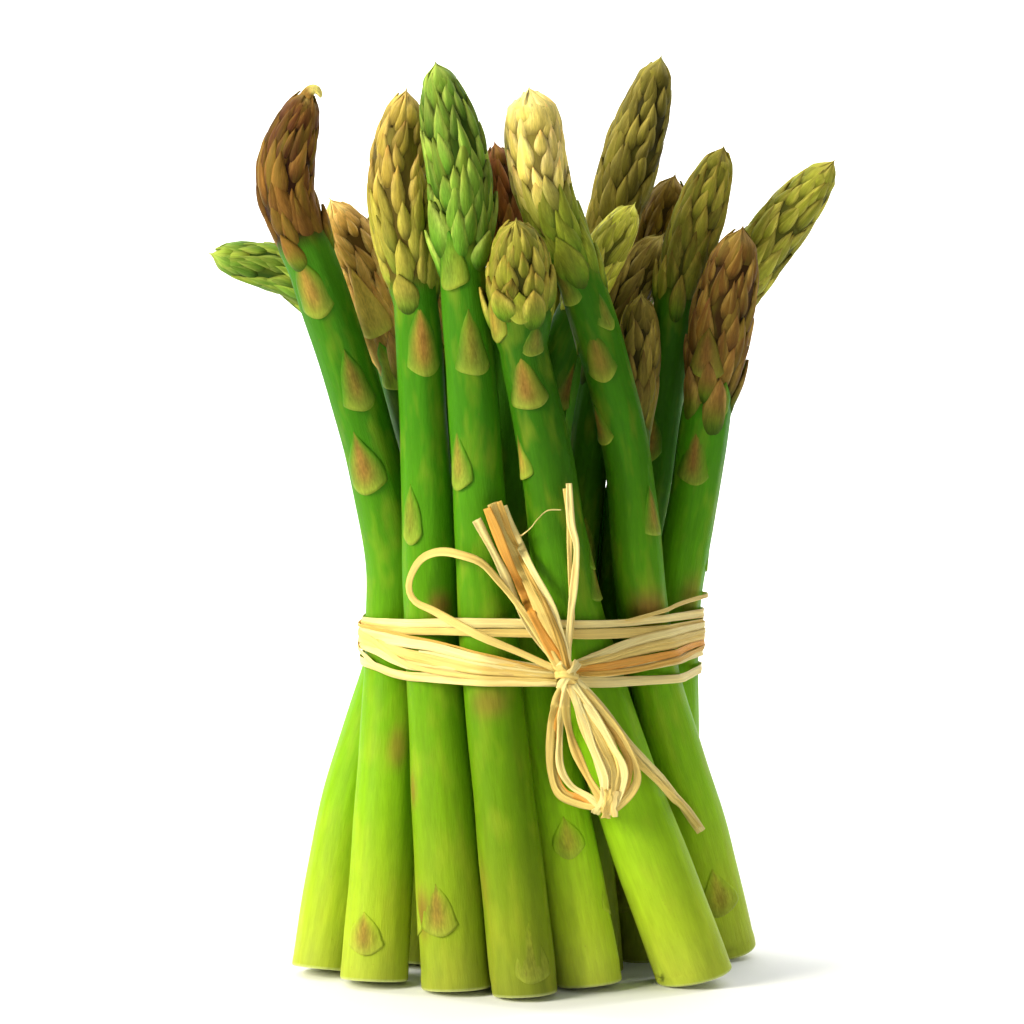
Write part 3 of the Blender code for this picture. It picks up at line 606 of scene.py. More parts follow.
def head_form(looseness, bulge):
    """A bract of the bud: broadest at a third of its length, hollow under a raised middle."""
    def form(u, v):
        rise = np.minimum(v / 0.32, 1.0)
        fall = np.maximum((v - 0.32) / 0.68, 0)
        wide = (0.62 + 0.38 * np.sin(rise * math.pi / 2)) * (1 - fall ** 1.6)
        hump = np.sin(math.pi * np.clip(v * 0.9 + 0.05, 0, 1)) ** 0.7
        lift = 0.1 + bulge * hump * (1 - u * u) ** 0.75 + looseness * v ** 2.0
        lift = lift - 0.5 * np.exp(-v / 0.1) - 0.3 * np.abs(u) ** 3 * (1 - v)
        back = -0.4 * (1 - u * u) * (1 - v)
        return np.maximum(wide, 0.03), lift, back, 0.38 * np.ones_like(u)
    return form


def tip_form(radius):
    """A bract at the very tip, which closes over it."""
    def form(u, v):
        wide = 1 - 0.35 * v ** 3
        closing = smooth(v, 0.5, 1.0)
        lift = 0.35 * np.sin(math.pi * np.clip(v, 0, 1)) * (1 - u * u) - 0.5 * np.exp(-v / 0.15)
        lift = lift * (1 - closing) + (0.06 + 0.1 * (1 - u * u) * (1 - v) - radius) * closing
        return wide, lift, -0.3 * (1 - u * u) * (1 - v), 0.35 * (1 - closing) + 0.04
    return form


def stem_bract_form(height, phase):
    """A triangular bract on a stem, with a raised lip at its foot and a keel along its middle."""
    def form(u, v):
        wide = np.maximum((1 - v ** 1.5) * (0.92 + 0.08 * np.sin(v * 6 + phase)), 0.02)
        lip = height * np.maximum(1 - np.abs(u) ** 3, 0.0)
        lift = lip * (0.35 + 0.65 * np.exp(-v / 0.22)) + 0.05
        lift = lift + 0.1 * height * np.exp(-((u / 0.16) ** 2)) * (1 - v)
        lift = lift * (1 - 0.6 * smooth(v, 0.7, 1.0))
        back = (2.0 * u * u + 0.3 * np.sin(u * 3.4 + phase)) * (1 - v)
        return wide, lift, back, 0.4 * np.ones_like(u)
    return form


def head_colours(shades, greenness, light, pale, low=0.0, low_colour=None):
    """Colours of a bract of the bud, from those of its middle, margin and tip, with painted shade at its foot
    and side edges.
    """
    middle, margin, tip = (linear(*shade) for shade in shades)
    if low_colour is not None:
        middle = mix(middle, linear(*low_colour), low)
        margin = mix(margin, linear(*low_colour) * 1.7, low)
        tip = mix(tip, linear(*low_colour), low)

    def colours(u, v, z):
        edge = smooth(np.abs(u), 0.3, 1.0)
        tint = mix(middle, margin, edge * (0.3 + 0.7 * smooth(v, 0.1, 0.7)))
        tint = mix(tint, tip, smooth(v, 0.62, 0.98) * 0.8)
        tint = mix(tint, stem_tint(z), (1 - smooth(v, 0.0, 0.75)) * greenness)
        tint = mix(tint, margin * 1.15, smooth(v, 0.2, 0.9) * pale)
        # Painted shade: darker at the foot of the bract, which lies among the other bracts, and along its
        # side edges.
        under = 1 - 0.65 * (1 - smooth(v, 0.05, 0.35)) - 0.35 * smooth(np.abs(u), 0.8, 1.0)
        return tint * (light * under)[..., None], 0.3 + 0.4 * edge
    return colours


def stem_bract_colours(light, brown, warm, shade, under):
    """Colours of a stem bract; under is the colour below it, or None for the stem's own green."""
    def colours(u, v, z):
        green = stem_tint(z, shade)
        if under is not None:
            green = green * 0.25 + under * 0.9
        inner = smooth(1 - np.abs(u), 0.0, 1.0) * smooth(v, -0.1, 0.4)
        middle = mix(STEM_BRACT_MIDDLE, STEM_BRACT_WARM, np.full(np.shape(u), warm))
        side = 0.4 * (1 - v) * (1 - 0.7 * smooth(np.abs(u), 0.6, 1.0))
        tint = mix(mix(green, STEM_BRACT_MARGIN, side), middle, inner * brown * 0.85)
        tint = mix(tint, STEM_BRACT_FOOT, (1 - smooth(v, 0.0, 0.2)) * 0.4 * (1 - np.abs(u) ** 3))
        tint = mix(tint, green, 0.5 * smooth(v, 0.65, 1.0))
        return tint * light, 0.1 + 0.4 * inner
    return colours


def add_bud_bracts(bits, spear, start, rng, seed):
    """Bracts spiralling up the bud: broad and loose at its foot, small and tight at its tip."""
    look = HEAD_LOOKS[spear.index]
    low_colour = LOW_LOOKS.get(spear.index)
    size = spear.length - spear.bud_start
    count = int(size * HEAD_BRACTS_PER_MM)
    for n in range(count):
        t = n / (count - 1)
        s0 = spear.bud_start - 4.5 + size * t ** 0.94 * 0.92 + rng.uniform(-0.8, 0.6)
        angle = start + n * GOLDEN_ANGLE + rng.uniform(-0.25, 0.25)
        length = (BUD_LENGTH - BUD_LENGTH_LOSS * t) * rng.uniform(0.75, 1.3)
        length = max(min(length, spear.length - 0.6 - s0), 3.0)
        half_width = (BUD_HALF_WIDTH - BUD_HALF_WIDTH_LOSS * t) * rng.uniform(0.75, 1.25)
        half = min(half_width / max(float(spear.radius(s0 + 0.35 * length)), 1.2), 1.05)
        bulge = (0.8 + 0.35 * look.looseness) * (1 - 0.55 * t) * rng.uniform(0.6, 1.25)
        tip_out = (0.2 + 0.8 * look.looseness * (1 - t)) * rng.uniform(0.2, 1.6)
        green = max(0.0, look.green - 1.4 * t + rng.uniform(-0.2, 0.2)) * rng.uniform(0.6, 1.0)
        light = rng.uniform(0.6, 1.3) * BUD_LIGHT.get(spear.index, 1.0)
        low = float(1 - smooth(t, 0.3, 0.62))
        pale = rng.uniform(0.0, 0.6) * (1 - 0.7 * low)
        colours = head_colours(look[:3], min(green, 1.0), light, pale, low, low_colour)
        place = (s0, length, angle, half, rng.uniform(-0.3, 0.3))
        shell(bits, spear, place, head_form(tip_out, bulge), colours, CORE_SHARE, seed * 31 + n, 9, 7)


def add_neck_bracts(bits, spear, start, rng, seed):
    """Broad bracts that stand off round the foot of the bud."""
    look = HEAD_LOOKS[spear.index]
    low_colour = LOW_LOOKS.get(spear.index)
    for n in range(NECK_BRACTS.get(spear.index, PLAIN_NECK_BRACTS)):
        s0 = spear.bud_start - 7.0 + 1.3 * n
        angle = start + 0.8 + n * GOLDEN_ANGLE + rng.uniform(-0.3, 0.3)
        length = rng.uniform(8.5, 13.5)
        half = rng.uniform(0.42, 0.72)
        form = head_form(rng.uniform(0.3, 1.3) * (0.4 + look.looseness), 0.85)
        colours = head_colours(look[:3], 0.75, rng.uniform(0.85, 1.2), 0.2, 1.0, low_colour)
        shell(bits, spear, (s0, length, angle, half, rng.uniform(-0.2, 0.2)), form, colours,
              NECK_SHARE, seed * 53 + n, 13, 9)


def add_tip_bracts(bits, spear, start, rng, seed):
    """Small bracts that close the very tip."""
    look = HEAD_LOOKS[spear.index]
    for n in range(TIP_BRACTS):
        angle = start + n * GOLDEN_ANGLE
        end = spear.length + 0.9 - 0.12 * n
        s0 = end - rng.uniform(4.5, 9.5)
        form = tip_form(float(spear.radius(min(end, spear.length))) * TIP_SHARE)
        light = rng.uniform(0.75, 1.25) * BUD_LIGHT.get(spear.index, 1.0)
        half = rng.uniform(0.45, 0.75)
        colours = head_colours((look.middle, look.margin, look.crown), 0.0, light, 0.4)
        shell(bits, spear, (s0, end - s0, angle, half, rng.uniform(-0.3, 0.3)), form, colours,
              TIP_SHARE, seed * 77 + n, 11, 7)


def add_hook(bits, spear, seed):
    """Pale tip that curls over sideways, as a ribbed horn that narrows to its end."""
    rows, cols = 17, 12
    look = HEAD_LOOKS[spear.index]
    knots = [spear.middle(spear.length - HOOK_ROOT)]
    knots += [spear.line[-1] + np.array(offset) for offset in HOOKED_TIPS[spear.index]]
    t = np.linspace(0, 1, rows)[:, None]
    path = ((1 - t) ** 3 * knots[0] + 3 * t * (1 - t) ** 2 * knots[1]
            + 3 * t * t * (1 - t) * knots[2] + t ** 3 * knots[3])
    way = unit(np.gradient(path, axis=0))
    out = unit(np.cross(way, BACK))
    front = np.cross(out, way)
    turn = np.linspace(0, FULL_TURN, cols, endpoint=False)[None]
    radius = (HOOK_RADIUS * (1 - t) ** 0.55 + 0.12) * (1 + 0.16 * np.cos(3 * turn + 2.5 * t))
    points = (path[:, None] + (radius * np.cos(turn))[..., None] * front[:, None]
              + (radius * np.sin(turn))[..., None] * out[:, None])
    grain = np.stack([np.cos(turn) + 0 * t, np.sin(turn) + 0 * t, 7 * t + 0 * turn], axis=-1) + seed
    shade = mix(linear(*look.margin), linear(*look.crown), smooth(t, 0.3, 0.65))
    tint = np.broadcast_to(shade.reshape(rows, 1, 3), points.shape)
    bits.rings(points, tint, grain, 0.4, "fan")


def clear_of_others(spear, s, length, angle, all_spears):
    """Whether a bract at this place stays off the neighbouring spears."""
    for along in (0.0, 0.35, 0.7):
        for across in (-0.5, 0.0, 0.5):
            where, side = np.array([s + along * length]), np.array([angle + across])
            point = spear.surface(where, side, TEST_LIFT)[0]
            for other in all_spears:
                if other is spear:
                    continue
                gaps = np.linalg.norm(other.line - point, axis=1)
                near = int(gaps.argmin())
                if gaps[near] < other.radius(other.along[near]) + TEST_MARGIN:
                    return False
    return True


def stem_bracts(spear, all_spears):
    """Places of the bracts along a stem, the same as on the solids, and how brown each is."""
    rng = random.Random(SEED * 7 + spear.index)
    shades = random.Random(SEED * 11 + spear.index)
    front = FRONT_BRACTS.get(spear.index, ())
    places = [(s, math.radians(turn - 90), length, half, brown) for s, turn, length, half, brown in front]
    angle = rng.uniform(0, FULL_TURN)
    s = 9.0 + rng.uniform(0, 10)
    spread = 2.0 if front else 1.25
    while s < spear.head_start - 6:
        share = s / spear.head_start
        length = (PLAIN_LENGTH - PLAIN_LENGTH_LOSS * share) * rng.uniform(0.9, 1.1)
        if spear.middle(s + length)[2] > TIE_LOW and spear.middle(s)[2] < TIE_HIGH:
            s += TIE_STEP
            continue
        for turn in range(SIDES_TRIED):
            trial = angle + turn * SIDE_TURN * (1 if turn % 2 else -1)
            if front and math.sin(trial) < 0.2:
                continue
            if clear_of_others(spear, s, length, trial, all_spears):
                places.append((s, trial, length, PLAIN_HALF_WIDTH, shades.uniform(0.3, 1.0)))
                break
        angle += GOLDEN_ANGLE + rng.uniform(-0.3, 0.3)
        s += (PLAIN_SPACING - PLAIN_SPACING_LOSS * share) * spread * rng.uniform(0.85, 1.15)
    return places


def add_stem_bracts(bits, spear, all_spears, seed):
    rng = random.Random(seed * 13)
    shade = SKIN_LIGHT[spear.index]
    for n, (s, angle, length, half, brown) in enumerate(stem_bracts(spear, all_spears)):
        light = rng.uniform(0.9, 1.12) * BRACT_LIGHT.get(spear.index, 1.0)
        under = linear(*HEAD_LOOKS[spear.index].middle) if s > spear.head_start - 1 else None
        colours = stem_bract_colours(light, brown, rng.uniform(0.0, 0.9), shade, under)
        height = FOOT_BRACT_HEIGHT if s < FOOT_LENGTH else STEM_BRACT_HEIGHT
        form = stem_bract_form(height, rng.uniform(0, 6.3))
        shell(bits, spear, (s, length, angle, 1.2 * half, rng.uniform(-0.08, 0.08)), form, colours,
              1.0, seed * 57 + n, 17, 17)


def spear_piece(spear, all_spears, mat):
    """The fine piece that takes the place of one spear's solid."""
    seed = SPEAR_SEED + spear.index
    bits = Bits()
    add_stem(bits, spear, seed)
    add_stem_bracts(bits, spear, all_spears, seed)
    rng = random.Random(seed)
    start = rng.uniform(0, FULL_TURN)
    for add_bracts in (add_bud_bracts, add_neck_bracts, add_tip_bracts):
        add_bracts(bits, spear, start, rng, seed)
    if spear.index in HOOKED_TIPS:
        add_hook(bits, spear, seed)
    name = spear.spec.name
    obj = bits.build(name + "_fine", mat)
    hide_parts(name)
    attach(obj, "root")


# Raffia

RAFFIA_GAP = 0.55
WRAP_THICKNESS = 0.22
BOW_THICKNESS = 0.26
BOW_NODES = 70
KNOT_NODES = 24
BAND_LEVELS = 33
BAND_POINTS = 1400
DEGREES_PER_NODE = 0.8
SOFTENING = range(-8, 9, 2)
TAUT_ROUNDS = 60

# Heights between which the wraps lie, and how far they stand off the stems
WRAPS_LOW, WRAPS_HIGH, WRAPS_DEPTH = 62.0, 82.0, 0.85

# Clearance of the first knot turn at its top, the step to the next turn, and how far the ends dip
KNOT_TOP, KNOT_STEP, KNOT_DIP = 5.3, 0.35, 1.6

WRAP_SEED, BOW_SEED, KNOT_SEED = 700, 900, 1300
BOW_COLOUR_SEED, KNOT_COLOUR_SEED = 77, 5


def hull_ring(spears, z, angle):
    """Points of a tight band round all stems at the height z, where it faces the angles."""
    n = np.stack([np.cos(angle), np.sin(angle)], axis=-1)
    best = np.full(len(angle), -1e9)
    ring = np.zeros((len(angle), 2))
    for spear in spears:
        s = np.interp(np.full(len(angle), z), spear.line[:, 2], spear.along)
        at, way, side, across = spear.frames(s)
        lean = way[:, :2] / way[:, 2:]
        along = (lean * n).sum(axis=1)
        grow = np.sqrt(1 + along ** 2)
        r = spear.radius(s)
        reach = (at[:, :2] * n).sum(axis=1) + r * grow
        here = at[:, :2] + (r / grow)[:, None] * (n + lean * along[:, None])
        better = reach > best
        best = np.where(better, reach, best)
        ring = np.where(better[:, None], here, ring)
    return ring


class Band:
    """The smooth face of a tight band round all stems, by the angle of a point and its height."""

    def __init__(self, spears):
        turns = np.radians(np.arange(0, 360, 1.0))
        rows = []
        for level in range(BAND_LEVELS):
            ring = hull_ring(spears, TIE_LOW + level, turns)
            ring = np.concatenate([ring, ring[:1]])
            along = distances(ring)
            fine = np.linspace(0, along[-1], BAND_POINTS, endpoint=False)
            x, y = (np.interp(fine, along, ring[:, k]) for k in range(2))
            rows.append(np.interp(turns, np.arctan2(y, x), np.hypot(x, y), period=FULL_TURN))
        self.table = np.array(rows)

    def reach(self, place, z):
        """Distance of the band from the axis of the bundle."""
        level = np.clip(z - TIE_LOW, 0, BAND_LEVELS - 1.001)
        row = level.astype(int)
        turn = (place % FULL_TURN) / math.radians(1.0)
        col = turn.astype(int)
        down, right = level - row, turn - col
        col, after = col % 360, (col + 1) % 360
        low = self.table[row, col] * (1 - right) + self.table[row, after] * right
        high = self.table[row + 1, col] * (1 - right) + self.table[row + 1, after] * right
        return low * (1 - down) + high * down

    def outward(self, place, z):
        r = self.reach(place, z)
        slope = (self.reach(place + 0.05, z) - self.reach(place - 0.05, z)) / 0.1
        out = np.stack([r * np.cos(place) + slope * np.sin(place), r * np.sin(place) - slope * np.cos(place),
                        np.zeros(len(place))], axis=1)
        return unit(out)

    def points(self, place, z, lift):
        r = self.reach(place, z)
        on = np.stack([r * np.cos(place), r * np.sin(place), z], axis=1)
        return on + self.outward(place, z) * np.asarray(lift).reshape(-1, 1)


# Strands of the wraps: width, lift off the stems, colour, angles in degrees, height of the middle at
# each of them. One whose angles run less or more than one round has two loose ends; the others are
# closed.
WRAP_STRANDS = (
    (1.9, 0.15, "pale", (196, 226, 246, 263, 280, 302, 318, 350, 556),
     (77, 78, 79, 79, 79, 78.5, 79, 78.5, 77)),
    (1.9, 0.28, "straw", (197, 212, 226, 246, 263, 280, 302, 318, 350, 557),
     (76, 76, 76.5, 77, 77, 77, 76.5, 76.5, 76.5, 76)),
    (2.6, 0.55, "pale", (282, 288, 297, 313, 331, 350, 556, 572, 590, 601, 611, 623, 638),
     (69.5, 71.5, 73, 75, 75.5, 75.5, 74.5, 74, 74, 72.5, 71.5, 70, 68.5)),
    (2.5, 0.66, "straw", (282, 288, 296, 313, 331, 351, 556, 573, 590, 601, 611, 623, 638),
     (69.5, 70.5, 71.5, 73, 73.5, 73.5, 73.5, 72, 71, 70, 69.5, 69, 68)),
    (2.3, 0.5, "pale", (282, 296, 313, 331, 352, 557, 570, 581, 596, 612, 623, 638),
     (69, 69, 69.5, 70, 70, 72.5, 70.5, 69, 69, 68.5, 68, 67.5)),
    (1.6, 0.8, "orange", (282, 288, 296, 307, 319, 336, 351, 421), (69, 69.5, 70, 70.5, 71, 72, 72, 71)),
    (1.1, 0.86, "deep", (282, 296, 307, 319, 351, 421), (68.5, 68.5, 68.5, 69.5, 71, 70)),
    (2.2, 0.3, "pale", (200, 209, 221, 236, 252, 263, 278, 296, 313, 329, 351, 560),
     (68.5, 67, 66.5, 67, 67, 67, 67, 66.5, 66, 65.5, 66, 68.5)),
    (1.2, 0.85, "pale", (133, 193, 198, 204, 213, 226, 246, 263, 278),
     (74, 72.5, 70, 68, 67, 66.5, 66.5, 66.5, 66.5)),
    (1, 0.88, "straw", (137, 197, 205, 214, 223, 236, 255, 278), (76, 74.5, 73, 71, 69, 68, 67.5, 67)),
    (0.8, 0.6, "straw", (302, 313, 324, 334, 349, 419), (79, 80, 81.5, 82, 82.5, 81.5)),
    (0.6, 0.9, "deep", (138, 198, 220, 238, 251, 263, 276), (77.5, 76, 75.5, 74.5, 73, 71, 69)),
    (0.9, 0.9, "straw", (282, 292, 308, 325, 350, 420), (70, 71.5, 73.5, 74.5, 74.5, 73.5)),
    (0.7, 0.9, "pale", (228, 241, 251, 263, 277), (72.5, 71.5, 70.5, 69.5, 68.5)),
)

# Strands of the bow: width, colour, points (x, z, clearance in front of what lies behind)
BOW_STRANDS = (
    (1.79, "pale", ((-12.2, 101.1, 2.6), (-7.3, 91.5, 3.2), (-2.3, 80.7, 3.4), (2.7, 73.7, 3.6),
     (6.5, 69.1, 3.4))),
    (1.94, "orange", ((-10, 103.6, 3.2), (-7.9, 98.4, 3.8), (-5.6, 92.5, 4.2), (-2.3, 85.2, 4.6),
     (1.5, 77.5, 4.6), (6.5, 69.1, 4.2))),
    (1.94, "straw", ((-9, 104.5, 2.6), (-6.3, 97.1, 3.2), (-1, 86.2, 4), (3.1, 77.5, 4.2),
     (6.7, 69.5, 3.8))),
    (1.49, "deep", ((-7.7, 104.9, 3), (-5.2, 97.8, 3.4), (-1.9, 91.3, 3.8), (2.1, 83.6, 4.4),
     (5.2, 75.8, 4.6), (6.9, 69.5, 4.4))),
    (1.64, "pale", ((-6.5, 103.8, 2.4), (-3.8, 96.9, 2.8), (0.2, 89.2, 3.2), (4, 81.7, 3.6), (6.1, 74.8, 4),
     (7.1, 69.5, 4))),
    (1.64, "straw", ((5.2, 69.9, 4.6), (1.1, 76.7, 4.4), (-3.1, 82.8, 4), (-7.3, 87.9, 3.2),
     (-11.3, 92.1, 2.6), (-15.7, 93.6, 2.2), (-19.9, 94, 2), (-23.6, 92.5, 2), (-25.9, 89.2, 2),
     (-26.6, 85.8, 2), (-25.3, 83.2, 2.2), (-21.5, 81.5, 2.6), (-17.3, 79.4, 3.2), (-11.5, 76.7, 3.8),
     (-3.1, 73.3, 4.2), (4.4, 69.9, 4.4))),
    (1.49, "pale", ((7, 108.9, 2.4), (7.5, 100.5, 2.6), (8.6, 95.9, 2.8), (8.2, 88.3, 3), (7.3, 80.2, 3.2),
     (6.7, 72.7, 4), (6.7, 68.7, 4.2))),
    (1.05, "straw", ((6.3, 107.8, 2), (7.1, 98.8, 2.2), (7.3, 89.4, 2.4), (7.7, 80, 3), (6.5, 69.9, 3.8))),
    (1.64, "straw", ((6.7, 67.4, 4.2), (4.6, 63.8, 4), (3.4, 54.8, 4.2), (3.4, 46.7, 4.2), (5.1, 42.3, 4),
     (9, 40.4, 4.2), (13.2, 39.8, 4.6))),
    (1.49, "pale", ((6.7, 67, 4.6), (5.9, 63.2, 4.6), (5.3, 54.8, 5), (5.5, 48, 5.2), (7.8, 44.2, 5),
     (11.6, 42.1, 5), (14.1, 40.4, 5))),
    (1.35, "orange", ((6.9, 66.6, 4), (5.7, 63.2, 3.6), (4.6, 54.8, 3.6), (4.4, 47.4, 3.6),
     (6.5, 42.7, 3.8), (10.5, 41.5, 4.2), (14.5, 39.5, 4.6))),
    (1.79, "straw", ((6.9, 66.6, 4.4), (6.5, 61.5, 4.4), (7.8, 54.3, 4.6), (10.7, 47.6, 4.8),
     (13.5, 42.7, 5), (14.9, 39.5, 5.2))),
    (2.09, "pale", ((7.3, 67, 4.6), (9, 62.1, 5), (11.1, 55.8, 5.4), (13.2, 50.5, 5.6), (14.5, 46.3, 5.6),
     (14.5, 42.7, 5.4), (14.1, 40, 5.2))),
    (1.94, "straw", ((7.8, 66.8, 4.2), (10.5, 61.5, 4.6), (14.1, 54.3, 5), (16.6, 48.4, 5.2),
     (16.6, 43.1, 5.4), (14.9, 39.5, 5.4))),
    (1.79, "pale", ((8, 66.8, 4.6), (12, 60.9, 5), (16.4, 53.3, 5.4), (18.7, 48, 5.4), (17.6, 42.9, 5.2),
     (15.1, 39.3, 5))),
    (1.64, "straw", ((8.2, 67, 4.2), (13.2, 62.1, 4.4), (17.8, 55.8, 4.6), (21, 49.7, 4.8),
     (21.4, 46.1, 4.8), (19.3, 42.5, 5), (15.8, 39.1, 5))),
    (1.94, "pale", ((4.8, 71.2, 4.6), (10.1, 65.7, 4), (14.5, 60.5, 3.2), (18.9, 54.8, 2.8),
     (27.5, 44.4, 2.4), (36.3, 31.4, 2.4))),
    (1.49, "straw", ((6.1, 69.5, 4.2), (11.1, 62.8, 3.8), (15.7, 56.9, 3.2), (21.2, 50.3, 2.8),
     (27.9, 43.1, 2.6), (35.7, 32.3, 2.6))),
    (0.2, "pale", ((-3.5, 97.1, 3.2), (-1, 99.4, 3), (0.6, 101.5, 2.8), (2.5, 103.2, 2.6),
     (5.4, 103.4, 2.4))),
    (1.84, "pale", ((7.5, 67, 4.4), (9.9, 61.9, 4.6), (12.8, 55.2, 4.8), (15.3, 49.3, 5), (16, 44.2, 5),
     (14.7, 40.4, 5))),
    (1.72, "straw", ((7.8, 66.8, 4.5), (12.4, 60.2, 4.8), (16.2, 53.7, 5), (17.8, 48.9, 5),
     (17.2, 44.2, 5.2), (15.1, 39.5, 5.2))),
    (1.26, "deep", ((8, 66.8, 4), (13.6, 60.7, 4.2), (17.8, 54.3, 4.4), (19.9, 49.3, 4.6),
     (19.1, 44.2, 4.8), (16.2, 40, 4.8))),
    (1.61, "straw", ((6.5, 66.6, 3.8), (4.4, 62.1, 3.8), (3.8, 54.8, 3.8), (3.8, 47.4, 3.8),
     (5.7, 42.7, 3.8), (9.5, 41, 4), (13.7, 39.8, 4.4))),
    (1.72, "pale", ((14.5, 45, 5.4), (14.9, 42.7, 5.6), (13.7, 40.4, 5.4), (12.6, 38.7, 5.2))),
    (1.95, "straw", ((15.3, 44.6, 5.6), (15.6, 42.5, 5.8), (15.1, 40.4, 5.6), (14.9, 38.1, 5.4))),
    (1.61, "pale", ((17, 44.2, 5.5), (16.6, 42.1, 5.6), (16.4, 40.4, 5.5), (16.8, 38.5, 5.2))),
)

# Turns of the knot: width, colour, points (x, z) from end to end over the front
KNOT_TURNS = (
    (1.9, "straw", ((4.0, 71.6), (5.4, 69.8), (6.9, 68.0), (8.6, 66.0))),
    (1.8, "pale", ((9.0, 71.4), (7.9, 69.8), (6.4, 68.0), (5.0, 65.6))),
    (1.5, "straw", ((4.2, 68.6), (5.8, 69.0), (7.4, 68.8), (9.0, 68.2))),
)

STRAW_COLOURS = {"straw": linear(224, 196, 110), "pale": linear(238, 220, 148),
                 "deep": linear(208, 162, 70), "orange": linear(222, 152, 56)}


def strand_tint(kind, rng):
    """A strand's own colour, drawn a little towards plain straw."""
    return mix(STRAW_COLOURS[kind], STRAW_COLOURS["straw"], rng.uniform(0.0, 0.3))


def ribbon(bits, low, high, out, thick, tint, seed, closed):
    """A thin strand between two edge lines, with its faces towards out, cupped and lightly creased."""
    rng = random.Random(seed)
    cols = 7
    count = len(low)
    across = np.linspace(0, 1, cols)
    creases = [(rng.uniform(0.04, 0.10), rng.uniform(2, 4), rng.uniform(0, 6.3)) for _ in range(2)]
    along = distances((low + high) / 2)
    width = np.linalg.norm(high - low, axis=1)
    top, under = [], []
    for c in across:
        u = 2 * c - 1
        lift = sum(size * math.cos(k * u * 1.6 + phase) for size, k, phase in creases)
        wave = 0.05 * np.sin(along * 0.9 + seed + u * 2.0)
        middle = low + (high - low) * c + (lift + wave)[:, None] * out
        half = out * thick * (0.5 if abs(u) < 0.95 else 0.25)
        top.append(middle + half)
        under.append(middle - half)
    ring = np.array(top + under[::-1]).transpose(1, 0, 2)
    u = np.concatenate([across, across[::-1]])
    grain = np.zeros((count, 2 * cols, 3))
    grain[..., 0] = u[None] * width[:, None] + seed * 1.37
    grain[..., 1] = along[:, None] * 0.035 + seed * 0.71
    grain[..., 2] = seed * 0.93
    shade = np.tile(tint, (count, 2 * cols, 1)) * (1 + 0.06 * np.sin(u * 9 + seed))[None, :, None]
    bits.rings(ring, shade, grain, 0.5, None if closed else "strip")


def add_wrap_strand(bits, band, strand, seed):
    """One strand round the bundle, lying on the face of a tight band."""
    width, lift, kind, turns, levels = strand
    rng = random.Random(seed)
    closed = turns[-1] - turns[0] == 360
    count = int((turns[-1] - turns[0]) / DEGREES_PER_NODE)
    degrees = np.linspace(turns[0], turns[-1], count, endpoint=not closed)
    middle = np.zeros(len(degrees))
    for shift in SOFTENING:
        where = degrees + shift
        if closed:
            where = turns[0] + (where - turns[0]) % 360.0
        middle += np.interp(where, turns, levels) / len(SOFTENING)
    place = np.radians(degrees)
    half = 0.5 * width * (1 + 0.16 * np.sin(place * 3 + rng.uniform(0, 6.3)))
    if not closed:
        ends = np.minimum(np.arange(len(place)), np.arange(len(place))[::-1])
        half = half * np.clip(0.45 + 0.07 * ends, 0.0, 1.0)
    tilt = 0.12 * np.sin(place * 2 + rng.uniform(0, 6.3))
    low = band.points(place, middle - half, RAFFIA_GAP + lift + tilt)
    high = band.points(place, middle + half, RAFFIA_GAP + lift - tilt)
    tint = strand_tint(kind, rng)
    ribbon(bits, low, high, band.outward(place, middle), WRAP_THICKNESS, tint, seed, closed)


def front_surface(spears, x, z):
    """The y of the frontmost stem surface around the point x, z."""
    front = 0.0
    for spear in spears:
        levels = np.array([z - 1.5, z, z + 1.5])
        s = np.interp(levels, spear.line[:, 2], spear.along)
        at = spear.frames(s)[0]
        r = spear.radius(s) * 1.03
        for dx in (-1.2, 0.0, 1.2):
            off = x + dx - at[:, 0]
            hit = np.abs(off) < r
            if hit.any():
                front = min(front, float((at[:, 1] - np.sqrt(np.maximum(r * r - off * off, 0)))[hit].min()))
    return front


def band_front(band, x, z):
    """The y of the front of the raffia wraps at x."""
    places = np.radians(np.arange(190, 352, 4.0))
    points = band.points(places, np.full(len(places), z), WRAPS_DEPTH)
    return float(np.interp(x, points[:, 0], points[:, 1]))


def strand_line(spears, band, points, count):
    """Centreline of a strand, laid in front of the stems and the wraps."""
    path = spline([(x, -ahead, z) for x, z, ahead in points], count)
    line = []
    for x, ahead, z in path:
        front = front_surface(spears, x, z)
        if WRAPS_LOW < z < WRAPS_HIGH:
            front = min(front, band_front(band, x, z))
        line.append((x, front + ahead, z))
    line = np.array(line)
    for _ in range(TAUT_ROUNDS):
        inner = line[1:-1, 1]
        line[1:-1, 1] = np.minimum(inner, 0.5 * inner + 0.25 * (line[:-2, 1] + line[2:, 1]))
    return resample(line, count)


def add_bow_strand(bits, spears, band, width, points, tint, seed, count):
    """One strand in front of the bundle, lightly rolled along its length."""
    rng = random.Random(seed)
    line = strand_line(spears, band, points, count)
    ways = unit(np.gradient(line, axis=0))
    wide = unit(np.cross(ways, AHEAD))
    deep = np.cross(wide, ways)
    t = np.linspace(0, 1, count)
    roll = rng.uniform(-0.3, 0.3) + rng.uniform(0.1, 0.45) * np.sin(t * rng.uniform(3, 8) + rng.uniform(0, 6))
    across = wide * np.cos(roll)[:, None] + deep * np.sin(roll)[:, None]
    out = np.cross(ways, across)
    half = (0.5 * width * (1 + 0.15 * np.sin(t * 17 + seed)))[:, None]
    ribbon(bits, line - across * half, line + across * half, out, BOW_THICKNESS, tint, seed, False)


